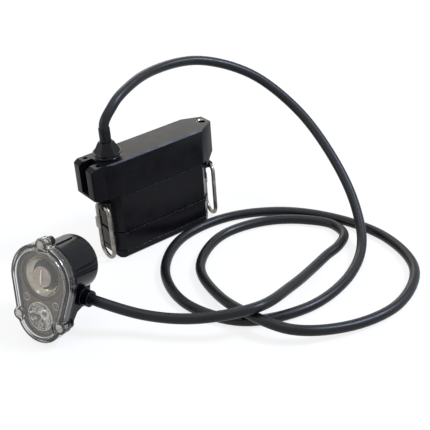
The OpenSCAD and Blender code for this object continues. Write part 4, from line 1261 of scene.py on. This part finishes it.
@dataclass
class ClearCover:
    """The egg-shaped clear cover: thick flange, three boss lobes and a raised window."""

    face_r: float = 26.6
    chin_r: float = 20.6
    pitch: float = 29.2
    drop: float = 1.4
    wall: float = 4.2
    back: float = -4.8
    flange: float = 2.7
    window: float = 4.1
    window_back: float = 2.1
    window_grow: float = 1.0
    window_gap: float = 0.6
    crown: float = 0.35
    crown_rings: tuple[float, ...] = (0, 0.2, 0.4, 0.6, 0.8, 0.93)
    boss_r: float = 5.0
    bosses: tuple[tuple[float, float], ...] = ((0.0, 25.1), (18.7, -34.0), (-18.7, -34.0))
    boss_blend: float = 1.6
    step_blend: float = 1.4
    window_round: float = 0.7
    flange_round: float = 1.1
    room_round: float = 0.8
    # Straight sides: how far they end under the top and over the back, and their rings.
    side: tuple[float, float, int] = (2.4, 0.6, 5)
    room_side: tuple[float, float, int] = (1.2, 1.0, 6)
    room_rings: tuple[float, ...] = (0.85, 0.6, 0.3, 0)
    # Steps out from the window and up from the flange, where the two meet in a cove.
    cove: tuple[tuple[float, float], ...] = ((0.05, 0.45), (0.25, 0.1), (0.7, 0.0))
    # Steps in from the flange's side and up from its back, and out from the room.
    foot: tuple[tuple[float, float], ...] = ((-0.12, 0.2), (-0.5, 0.0))
    mouth: tuple[tuple[float, float], ...] = ((0.4, 0.0), (0.0, 0.3))
    # The black rubber strip that paints the shadow gap round the plate: steps in from the wall,
    # gaps to the bosses, and height and chamfer.
    shadow_strip_in: tuple[float, float] = (0.1, 1.9)
    shadow_strip_gap: tuple[float, float] = (0.1, 1.8)
    shadow_strip_z: tuple[float, float] = (0.02, 1.5)
    shadow_strip_chamfer: tuple[float, float] = (0.3, 0.25)
    # Where the directions of the outline start, and how finely it is drawn.
    middle: tuple[float, float] = (0.0, -15.0)
    egg_steps: int = 128
    around: int = 256
    keep_sharp_deg: float = 60.0

    def egg(self, grow: float) -> Array:
        """Distance from the middle to the outline in each direction.

        The outline is the edge of all circles between the big and the small one, so the
        distance is the greatest way out of any of them.

        Args:
            grow: how much the outline is grown.

        Returns:
            One distance for each direction.
        """
        t = np.linspace(0, 1, self.egg_steps + 1)[None]
        ways = circle_ways(self.around)
        radius = self.face_r + (self.chin_r - self.face_r) * t + grow
        dx = np.full_like(t, -self.middle[0])
        dy = -self.drop - self.pitch * t - self.middle[1]
        ahead = ways[:, :1] * dx + ways[:, 1:] * dy
        inside = np.maximum(ahead**2 - dx**2 - dy**2 + radius**2, 0)
        return (ahead + np.sqrt(inside)).max(1)

    def lobes(self, radius: float, far: bool) -> Array:
        """Distance from the middle to the far or near side of the boss circles.

        Args:
            radius: the circles' radius.
            far: takes the far side, otherwise the near side.

        Returns:
            One distance for each direction, or a value that a maximum or minimum passes over.
        """
        ways = circle_ways(self.around)
        centres = np.array(self.bosses) - np.array(self.middle)
        ahead = ways @ centres.T
        inside = ahead**2 - (centres**2).sum(1) + radius**2
        hit = (inside > 0) & (ahead > 0)
        root = np.sqrt(np.maximum(inside, 0))
        if far:
            return np.where(hit, ahead + root, 0).max(1)
        return np.where(hit, ahead - root, 1e3).min(1)

    @staticmethod
    def soft_max(a: Array, b: Array, blend: float) -> Array:
        """The greater of two distances, with a fillet of about the given size."""
        h = np.clip(0.5 + 0.5 * (a - b) / blend, 0, 1)
        return b + (a - b) * h + blend * h * (1 - h)

    def outer(self, grow: float) -> Array:
        """Outside of the flange and its lobes."""
        return self.soft_max(self.egg(grow), self.lobes(self.boss_r + grow, True), self.boss_blend)

    def inner(self, grow: float, boss_gap: float) -> Array:
        """An outline inside the flange that steps round the bosses."""
        bosses = self.lobes(self.boss_r + boss_gap, False)
        return -self.soft_max(-self.egg(grow), -bosses, self.step_blend)

    def stacked(self, levels: list[tuple[Array, float]]) -> Array:
        """Turns distances and heights into rings of points round the middle.

        Args:
            levels: for each ring, its distance in each direction and its height.

        Returns:
            An array of rings by points by 3, in millimetres.
        """
        radius = np.stack([level[0] for level in levels])
        flat = radius[..., None] * circle_ways(self.around) + np.array(self.middle)
        height = np.array([level[1] for level in levels])[:, None, None]
        return np.concatenate([flat, np.broadcast_to(height, (*radius.shape, 1))], -1)

    def rings(self) -> Array:
        """Rings from the window's middle, over the flange and back inside to the middle.

        The crown's height falls with the square of the share of the way out. Coves, sides
        and rounded edges are outlines that are grown or shrunk, each at its height.

        Returns:
            An array of rings by points by 3, in millimetres.
        """
        window = self.inner(self.window_grow - self.wall, self.window_gap)
        room = self.inner(-self.wall, 0.0)
        down, up, count = self.side
        side = np.linspace(self.flange - down, self.back + up, count)
        down, up, count = self.room_side
        room_side = np.linspace(self.back + up, self.window_back - down, count)
        window_edge = rounded_edge(self.window_round, self.window, QUARTER_TURN[::-1])
        flange_edge = rounded_edge(self.flange_round, self.flange, QUARTER_TURN[::-1])
        room_edge = rounded_edge(self.room_round, self.window_back, QUARTER_TURN)
        levels: list[tuple[Array, float]] = [
            *((window * f, self.window + self.crown * (1 - f * f)) for f in self.crown_rings),
            *((window + out, z) for out, z in window_edge),
            *((window + out, self.flange + up) for out, up in self.cove),
            *((self.outer(out), z) for out, z in flange_edge),
            *((self.outer(0.0), z) for z in side),
            *((self.outer(out), self.back + up) for out, up in self.foot),
            *((room + out, self.back + up) for out, up in self.mouth),
            *((room, z) for z in room_side),
            *((room + out, z) for out, z in room_edge),
            *((room * f, self.window_back) for f in self.room_rings),
        ]
        return self.stacked(levels)

    def shadow_strip(self) -> bpy.types.Mesh:
        """A black rubber strip on the plate's border, which paints the shadow gap between plate and
        flange: a flat ring between two inner outlines.

        Returns:
            The mesh, in place.
        """
        wide, narrow = (
            self.inner(-self.wall - way_in, gap)
            for way_in, gap in zip(self.shadow_strip_in, self.shadow_strip_gap)
        )
        low, high = (PLATE_FRONT + up for up in self.shadow_strip_z)
        out, down = self.shadow_strip_chamfer
        chamfer = [(narrow + out, high), (narrow, high - down)]
        levels = [(wide, low), (wide, high), *chamfer, (narrow, low)]
        rings = self.stacked(levels)
        mesh = ring_surface("painted_shadow_strip", rings * MM, closed=True)
        face_out(mesh)
        return HEAD.move(mesh)

    def build(self) -> None:
        """Makes the cover and the black strip that paints the shadow gap round its window, and
        dresses the screws in its bosses.
        """
        mesh = ring_surface("clear_cover_shell", self.rings() * MM)
        face_out(mesh, self.keep_sharp_deg)
        piece = link_object("clear_cover_shell", HEAD.move(mesh), Finish.CLEAR)
        stand_for(piece, Body.LAMP, "clear_plastic", "clear_cover")
        # A black rubber strip on the plate's border paints the shadow gap between plate and flange.
        shadow_strip = link_object("painted_shadow_strip", self.shadow_strip(), Finish.SEAL)
        stand_for(shadow_strip, Body.LAMP, "seal_rubber")
        dress("cover_screws", Finish.SCREW)


@dataclass
class Cup:
    """The main reflector: a grey lip with two beads, a bright bowl and a stepped foot painted dark
    as a dark reflection.
    """

    rim_r: float = 17.9
    bowl_top_r: float = 14.9
    neck_r: float = 8.6
    depth: float = 13.0
    bowl_r: float = 11.2
    bowl_z: float = -5.4
    bowl_bend: float = 0.35
    bowl_steps: int = 16
    foot_steps: int = 5
    # Each step of the foot: its ledge, its corner and its undercut, out and up.
    foot_step: tuple[tuple[float, float], ...] = ((0.5, 0.45), (0.1, 0.0), (-0.2, -0.15))
    lip_front: float = -1.8
    bead_r: float = 0.4
    bead_down: float = 0.3
    band_down: float = 0.45
    # How far the band starts outside the bowl's edge and ends inside the rim.
    band_from: tuple[float, float] = (1.0, 0.9)
    plate_t: float = 2.0
    ledge: float = 0.8
    ledge_t: float = 1.0
    # The back's bend: how far it is inside the rim, and its height.
    back: tuple[float, float] = (3.4, -9.0)
    neck_wall: float = 0.9

    def bowl(self) -> Profile:
        """The bowl from its foot to its rim. Its fall slackens with the square of the way in.

        Returns:
            Radius and height of its points.
        """
        way_in = np.linspace(0, 1, self.bowl_steps + 1)
        radius = self.bowl_top_r + (self.bowl_r - self.bowl_top_r) * way_in
        fall = (1 + self.bowl_bend) * way_in - self.bowl_bend * way_in**2
        height = self.lip_front + (self.bowl_z - self.lip_front) * fall
        return list(zip(radius[::-1], height[::-1]))

    def foot(self) -> Profile:
        """The stepped foot from the neck to the bowl.

        Returns:
            Radius and height of its points.
        """
        foot_z = PLATE_FRONT - self.depth
        points: Profile = []
        for i in range(self.foot_steps):
            share = (i + 0.5) / self.foot_steps
            radius = self.bowl_r + (self.neck_r - self.bowl_r) * share
            height = self.bowl_z + (foot_z - self.bowl_z) * share
            points += [(radius + out, height + up) for out, up in self.foot_step]
        return points[::-1]

    def mesh(self) -> bpy.types.Mesh:
        """Turns the profile: neck, foot, bowl, bead, band, rim, ledge and back.

        Returns:
            The mesh, round the origin.
        """
        foot_z = PLATE_FRONT - self.depth
        bead_z = self.lip_front - self.bead_down
        bead = arc((self.bowl_top_r + self.bead_r, bead_z), self.bead_r, 180, 0, 8)
        rim = arc((self.rim_r - self.bead_r, bead_z), self.bead_r, 150, 0, 8)
        band_z = self.lip_front - self.band_down
        band_in, band_out = self.band_from
        band = [(self.bowl_top_r + band_in, band_z), (self.rim_r - band_out, band_z)]
        shoulder = PLATE_FRONT - self.plate_t
        out, low = self.rim_r + self.ledge, shoulder - self.ledge_t
        inside = (self.rim_r - self.ledge_t, low)
        ledge = [(self.rim_r, shoulder), (out, shoulder), (out, low), inside]
        back = [(self.rim_r - self.back[0], self.back[1]), (self.neck_r + self.neck_wall, foot_z)]
        front = [(self.neck_r, foot_z), *self.foot(), *self.bowl()[:-1], *bead, *band, *rim]
        return turned_profile("reflector_cup", [*front, *ledge, *back], 128)

    def build(self) -> None:
        """Makes the cup, with its foot and back painted dark as a dark reflection and a lip in the
        plate's finish.
        """
        cup = link_object("reflector_cup", HEAD.move(self.mesh()), Finish.MIRROR)
        radius, height = face_places(cup.data)
        # The foot and back are painted dark: a painted dark reflection that rings the lens.
        add_finish(cup, Finish.CUP_FOOT, (height < self.bowl_z) | (radius < self.bowl_r))
        on_lip = (height > self.bowl_z) & (radius > self.bowl_top_r + 0.1)
        add_finish(cup, Finish.PLATE, on_lip)
        stand_for(cup, Body.LAMP, "reflector_chrome", "main_reflector")


@dataclass
class MainLens:
    """The lens in the cup: a cream holder, a clear front with rings and a gilt row on it that
    paints a highlight streak.
    """

    radius: float = 7.8
    front: float = -1.1
    dome: float = 0.9
    edge: float = 0.4
    ring_pitch: float = 1.1
    ring_depth: float = 0.05
    holder_ring_depth: float = 0.1
    holder_front: float = 0.5
    holder_grow: float = 0.1
    # How far under the lens's front the holder's cone starts, and its cream face ends.
    cone_down: float = 1.5
    cream_down: float = 0.7
    board_front: float = -27.5
    # The holder's foot: inner and outer radius, and the pocket's steps over the board.
    foot_r: tuple[float, float] = (2.7, 4.4)
    pocket: tuple[tuple[float, float], ...] = ((0.0, 3.4), (2.2, 3.4), (2.7, 2.6))
    # The gilt row, which paints a highlight streak: half its length, where its beads fade out,
    # pitch, least radius and swell.
    row_half: float = 5.9
    row_fade: float = 6.2
    bead_pitch: float = 2.0
    bead_r: tuple[float, float] = (0.18, 0.5)

    def rings_over(self, radius: Array, height: float, depth: float) -> Array:
        """Heights of turned rings: the base height plus a ripple of cos(2 pi r / pitch)."""
        return height + depth * np.cos(2 * math.pi * radius / self.ring_pitch)

    def clear_front(self) -> bpy.types.Mesh:
        """The front lens: flat behind, and a low dome with fine rings in front.

        The dome's height goes with sqrt(1 - (r / lens radius)^2).

        Returns:
            The mesh, round the origin.
        """
        radius = np.linspace(self.radius, 0, 72)
        ripple = self.rings_over(radius, self.front, self.ring_depth)
        # A little over 1 keeps the root real at the edge.
        front = ripple + self.dome * np.sqrt(1.0001 - (radius / self.radius) ** 2)
        back = self.front - self.edge
        profile = [(0.0, back), (self.radius, back), *zip(radius, front)]
        return turned_profile("front_lens", profile, 96)

    def holder(self) -> bpy.types.Mesh:
        """The cone that carries the lens: turned rings in front, a pocket for the light source.

        Returns:
            The mesh, round the origin.
        """
        wide = self.radius + self.holder_grow
        radius = np.linspace(wide, 0, 90)
        front = self.rings_over(radius, self.front - self.holder_front, self.holder_ring_depth)
        pocket = [(r, self.board_front + up) for r, up in self.pocket]
        foot = [(r, self.board_front) for r in self.foot_r]
        profile = [*foot, (wide, self.front - self.cone_down), *zip(radius, front), *pocket]
        return turned_profile("lens_holder", profile, 96)

    def highlight_bead_row(self) -> bpy.types.Mesh:
        """A row of bright beads on the front lens, which paints the highlight streak of its rings:
        a rod whose radius swells to beads.

        The rod follows the lens's dome. Its radius is a least radius plus a share of
        |cos(pi y / pitch)|, which fades towards both ends.

        Returns:
            The mesh, in place.
        """
        up = np.linspace(-self.row_half, self.row_half, 81)
        dome = self.front + self.dome * np.sqrt(1 - (up / self.radius) ** 2)
        path = np.column_stack([np.zeros_like(up), up, dome]) * MM
        ways = np.tile([0.0, 1.0, 0.0], (len(up), 1))
        fade = np.sqrt(np.maximum(0, 1 - (up / self.row_fade) ** 4))
        swell = np.abs(np.cos(math.pi * up / self.bead_pitch)) * fade
        radius = (self.bead_r[0] + self.bead_r[1] * swell) * MM
        return HEAD.move(tube("highlight_bead_row", path, ways, radius, 16))

    def build(self) -> None:
        """Makes the holder, cream in front and bright round its cone, the lens and the row of beads
        that paints a highlight streak.
        """
        holder = link_object("lens_holder", HEAD.move(self.holder()), Finish.LENS_HOLDER)
        _, height = face_places(holder.data)
        add_finish(holder, Finish.MIRROR, height < self.front - self.cream_down)
        stand_for(holder, Body.LAMP, "lens_clear", "main_lens")
        lens = link_object("front_lens", HEAD.move(self.clear_front()), Finish.LENS)
        stand_for(lens, Body.LAMP, "lens_clear", "main_lens")
        # Bright beads on the lens paint the highlight streak of its rings.
        row = link_object("highlight_bead_row", self.highlight_bead_row(), Finish.EMITTER)
        stand_for(row, Body.LAMP, "lens_clear")


@dataclass
class AuxLens:
    """The auxiliary lens: a nearly flat front over a cone with nine flutes round it."""

    at: tuple[float, float] = (0.0, -31.0)
    radius: float = 11.3
    seat_r: float = 10.3
    cone: tuple[tuple[float, float], ...] = ((10.2, -1.6), (8.6, -4.2), (6.6, -6.4), (4.4, -8.0))
    pocket: tuple[tuple[float, float], ...] = ((2.6, -8.0), (2.4, -5.8), (0.0, -5.4))
    bead_r: float = 0.45
    bead_z: float = -0.65
    flutes: float = 4.5
    flute_depth: float = 0.13
    flute_turn: float = 0.4
    cells: int = 8
    cell_depth: float = 0.1
    cell_rate: float = 1.6
    # Widths of the rim outside the face and under its bead, and depth of the clear edge.
    rim: float = 2.4
    bead_in: float = 1.0
    clear_edge: float = 0.3
    around: int = 96
    keep_sharp_deg: float = 20.0

    def mesh(self) -> bpy.types.Mesh:
        """Rings from the front's middle over the rim and down the cone to the pocket.

        The front's height is a ripple of cos(8 a) cos(1.6 r) that grows and fades across
        the face. A cone ring's radius is less by a share that goes with |sin(4.5 a)|.

        Returns:
            The mesh, round the origin.
        """
        radius = np.linspace(0, self.radius - self.rim, 30)
        ways = circle_ways(self.around)
        turn = np.arctan2(ways[:, 1], ways[:, 0])
        swell = np.sin(math.pi * radius / radius[-1]) ** 2
        cell = np.cos(self.cells * turn)[None] * np.cos(radius * self.cell_rate)[:, None]
        front = PLATE_FRONT - self.cell_depth * swell[:, None] * cell
        inner_bead = arc((self.radius - self.bead_in, self.bead_z), self.bead_r, 180, 90, 4)
        outer_bead = arc((self.radius - self.bead_r, self.bead_z), self.bead_r, 90, 0, 4)
        seat = [(self.radius, PLATE_FRONT), (self.seat_r, PLATE_FRONT)]
        edge = np.array([*inner_bead, *outer_bead, *seat, *self.cone, *self.pocket])
        flat = np.concatenate([radius[:, None, None] * ways, edge[:, None, :1] * ways])
        edge_height = np.broadcast_to(edge[:, 1:], (len(edge), self.around))
        rings = np.concatenate([flat, np.concatenate([front, edge_height])[..., None]], -1)
        facets = 1 - self.flute_depth * np.abs(np.sin(self.flutes * turn + self.flute_turn))
        cone_end = len(rings) - len(self.pocket)
        rings[cone_end - len(self.cone):cone_end, :, :2] *= facets[:, None]
        mesh = ring_surface("auxiliary_lens", rings * MM)
        face_out(mesh, self.keep_sharp_deg)
        return mesh

    def build(self) -> None:
        """Makes the lens, with a silvered fluted back and a bright rim."""
        lens = link_object("auxiliary_lens", HEAD.move(self.mesh(), self.at), Finish.LENS)
        radius, height = face_places(lens.data, self.at)
        # The limits lie 0.1 mm beyond the pocket's mouth and the bead's middle.
        on_cone = (height < PLATE_FRONT - self.clear_edge) & (radius > self.pocket[0][0] + 0.1)
        add_finish(lens, Finish.CONE, on_cone)
        on_rim = (height > PLATE_FRONT) & (radius > self.radius - self.bead_in - 0.1)
        add_finish(lens, Finish.MIRROR, on_rim)
        stand_for(lens, Body.LAMP, "lens_clear", "aux_lens")


@dataclass
class Indicators:
    """The two indicator lights, each a milky dome on a stem in a raised bright ring."""

    places: tuple[tuple[str, tuple[float, float]], ...] = (
        ("right", (13.1, -19.1)),
        ("left", (-13.1, -19.1)),
    )
    stem_r: float = 1.95
    stem_foot: float = 4.0
    stem_top: float = 1.5
    dome_rise: float = 1.1
    dome_down: float = 0.5
    ring_r: float = 2.75
    ring_round: float = 0.32
    ring_up: float = 0.05
    # Radius and height over the plate, from the stem to the ring and from the ring inwards.
    seat: tuple[tuple[float, float], ...] = ((2.9, -0.02), (3.07, 0.02))
    groove: tuple[float, float] = (2.3, -0.6)
    # Where the bright ring starts: its least radius, and how far under the plate's front.
    bright: tuple[float, float] = (2.35, 0.3)

    def mesh(self, at: tuple[float, float]) -> bpy.types.Mesh:
        """One indicator, turned. Its dome is an arc that is stretched to the stem's radius.

        Args:
            at: its middle on the face.

        Returns:
            The mesh, in place.
        """
        rest = PLATE_FRONT
        ring = arc((self.ring_r, rest + self.ring_up), self.ring_round, 0, 180, 8)
        dome = [
            (self.stem_r * x, rest - self.dome_down + self.dome_rise * z)
            for x, z in arc((0.0, 0.0), 1.0, 0, 90, 10)
        ]
        foot = rest - self.stem_foot
        stem = [(0.0, foot), (self.stem_r, foot), (self.stem_r, rest - self.stem_top)]
        seat = [(r, rest + up) for r, up in self.seat]
        groove = (self.groove[0], rest + self.groove[1])
        profile = [*stem, *seat, *ring, groove, *dome]
        return HEAD.move(turned_profile("indicator_light", profile, 48), at)

    def build(self) -> None:
        """Makes both indicators and gives their rings the reflector's finish."""
        for side, at in self.places:
            light = link_object(f"{side}_indicator", self.mesh(at), Finish.DIODE)
            radius, height = face_places(light.data, at)
            on_ring = (radius > self.bright[0]) & (height > PLATE_FRONT - self.bright[1])
            add_finish(light, Finish.MIRROR, on_ring)
            stand_for(light, Body.LAMP, "lens_clear", "indicator_lights")


@dataclass
class Plate:
    """The grey plate that carries reflector, lens and indicators."""

    edge: float = 0.25

    def build(self) -> None:
        """Rounds the plate and blackens every face of it that doesn't look forwards, which paints a
        shadow line round it.
        """
        plate = softened("reflector_plate", "lens_plate", Finish.PLATE, self.edge)
        normals = np.empty(len(plate.data.polygons) * 3)
        plate.data.polygons.foreach_get("normal", normals)
        forwards = normals.reshape(-1, 3) @ HEAD.matrix[:, 2]
        # A face that is turned 60 degrees or more from forwards is a side or the back.
        # The black sides paint a shadow line round the plate.
        add_finish(plate, Finish.PLATE_EDGE, forwards < 0.5)
        stand_for(plate, Body.LAMP, "plate_grey", "reflector_plate")


# ---------------------------------------------------------------- studio


@dataclass(frozen=True)
class SoftBox:
    """A square soft lamp: its place, aim and side in metres, power in watts and colour."""

    name: str
    at: tuple[float, float, float]
    aim: tuple[float, float, float]
    size: float
    power: float
    tint: str

    def build(self) -> None:
        """Hangs the lamp, with its face towards the aim."""
        data = bpy.data.lights.new(self.name, "AREA")
        data.size = self.size
        data.energy = self.power
        data.color = linear(self.tint)[:3]
        lamp = bpy.data.objects.new(self.name, data)
        away = np.array(self.at) - np.array(self.aim)
        away /= np.linalg.norm(away)
        side = np.cross([0.0, 0.0, 1.0], away)
        side /= np.linalg.norm(side)
        matrix = np.eye(4)
        matrix[:3] = np.column_stack([side, np.cross(away, side), away, self.at])
        lamp.matrix_world = matrix.T.tolist()
        bpy.context.scene.collection.objects.link(lamp)


@dataclass
class Studio:
    """White floor, soft light and the camera."""

    camera_at: tuple[float, float, float] = (-366.2, -602.5, 423.2)
    target: tuple[float, float, float] = (53.6, -10.6, 0.0)
    roll: float = -4.33
    lens: float = 80.05
    sensor: float = 36.0
    nearest: float = 0.01
    floor_half: float = 6.0
    # The share of the floor that glows where it is seen directly, and its paint elsewhere.
    white: float = 0.82
    paint: float = 0.8
    # The world's strength as a light. It is 1 where it is seen directly.
    world_light: float = 0.55
    # A warm one behind, a cool one overhead, a small cool key and a weak one at the left.
    lamps: tuple[SoftBox, ...] = (
        SoftBox("back_softbox", (0.62, 1.0, 0.75), (0.0, 0.0, 0.08), 0.9, 5.5, "#fff8f0"),
        SoftBox("top_softbox", (-0.1, 0.05, 1.5), (0.0, 0.0, 0.0), 1.0, 7.0, "#dbe8ff"),
        SoftBox("key_softbox", (0.75, -0.75, 1.15), (0.0, 0.0, 0.08), 0.4, 26.0, "#cfe0ff"),
        SoftBox("left_softbox", (-1.15, 0.35, 0.55), (0.0, 0.0, 0.05), 0.6, 3.2, "#fff8ef"),
    )

    def place_camera(self) -> None:
        """Looks from the camera's place to its target, rolled about that line."""
        data = bpy.data.cameras.new("camera")
        data.lens = self.lens
        data.sensor_width = self.sensor
        data.clip_start = self.nearest
        ahead = np.array(self.target) - np.array(self.camera_at)
        ahead /= np.linalg.norm(ahead)
        right = np.cross(ahead, [0.0, 0.0, 1.0])
        right /= np.linalg.norm(right)
        up = np.cross(right, ahead)
        c, s = math.cos(math.radians(self.roll)), math.sin(math.radians(self.roll))
        matrix = np.eye(4)
        matrix[:3, 0] = c * right + s * up
        matrix[:3, 1] = -s * right + c * up
        matrix[:3, 2] = -ahead
        matrix[:3, 3] = np.array(self.camera_at) * MM
        camera = bpy.data.objects.new("camera", data)
        camera.matrix_world = matrix.T.tolist()
        bpy.context.scene.collection.objects.link(camera)
        bpy.context.scene.camera = camera

    @staticmethod
    def seen_directly(tree: bpy.types.NodeTree) -> Link:
        """1 for rays from the camera, off gloss or through glass, otherwise 0.

        Args:
            tree: the node tree that gets the nodes.

        Returns:
            The last node and the name of its output.
        """
        rays = add_node(tree, "LightPath")
        seen: Link = (rays, "Is Camera Ray")
        for kind in ("Is Glossy Ray", "Is Transmission Ray"):
            links = {0: seen, 1: (rays, kind)}
            seen = (add_node(tree, "Math", links=links, operation="MAXIMUM"), "Value")
        return seen

    def build_floor(self) -> None:
        """A white floor that keeps a faint shadow."""
        half = self.floor_half
        corners = [(-half, -half, 0), (half, -half, 0), (half, half, 0), (-half, half, 0)]
        mesh = bpy.data.meshes.new("studio_floor")
        mesh.from_pydata(corners, [], [(0, 1, 2, 3)])
        material, tree, output = new_material("studio_white")
        paint = add_node(tree, "BsdfDiffuse", {"Color": (self.paint, self.paint, self.paint, 1.0)})
        glow = add_node(tree, "Emission", {"Color": (1.0, 1.0, 1.0, 1.0), "Strength": 1.0})
        seen = self.seen_directly(tree)
        share = add_node(tree, "Math", {1: self.white}, {0: seen}, operation="MULTIPLY")
        links = {0: (share, "Value"), 1: (paint, "BSDF"), 2: (glow, "Emission")}
        mix = add_node(tree, "MixShader", links=links)
        tree.links.new(mix.outputs["Shader"], output.inputs["Surface"])
        mesh.materials.append(material)
        floor = bpy.data.objects.new("studio_floor", mesh)
        bpy.context.scene.collection.objects.link(floor)

    def build_world(self) -> None:
        """Even grey light, white where it is seen directly."""
        world = bpy.data.worlds.new("studio")
        bpy.context.scene.world = world
        world.use_nodes = True
        tree = world.node_tree
        tree.nodes.clear()
        direct = self.seen_directly(tree)
        ends = {"To Min": self.world_light, "To Max": 1.0}
        strength = add_node(tree, "MapRange", ends, {"Value": direct})
        links = {"Strength": (strength, "Result")}
        background = add_node(tree, "Background", {"Color": (1, 1, 1, 1)}, links)
        output = add_node(tree, "OutputWorld")
        tree.links.new(background.outputs["Background"], output.inputs["Surface"])

    def build(self) -> None:
        """Puts up floor, world and lamps."""
        self.build_floor()
        self.build_world()
        for lamp in self.lamps:
            lamp.build()


def main() -> None:
    """Builds and dresses the lamp, piece by piece."""
    logging.basicConfig(level=logging.INFO, format="%(message)s")
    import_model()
    studio = Studio()
    studio.place_camera()
    Cord().build()
    Battery().build()
    BatteryGland().build()
    near_bar, far_bar, far_yaw = (-52.2, -5.3, 49.4), (54.0, -5.3, 49.4), -10.4
    BeltLoop("near_belt_loop_wire", Body.NEAR_LOOP, "belt_loop_near", near_bar).build()
    BeltLoop("far_belt_loop_wire", Body.FAR_LOOP, "belt_loop_far", far_bar, far_yaw).build()
    LoopBrackets().build()
    HeadBody().build()
    ClearCover().build()
    Plate().build()
    Cup().build()
    MainLens().build()
    AuxLens().build()
    Indicators().build()
    studio.build()
    bpy.context.scene.view_settings.view_transform = "Standard"


if __name__ == "__main__":
    main()
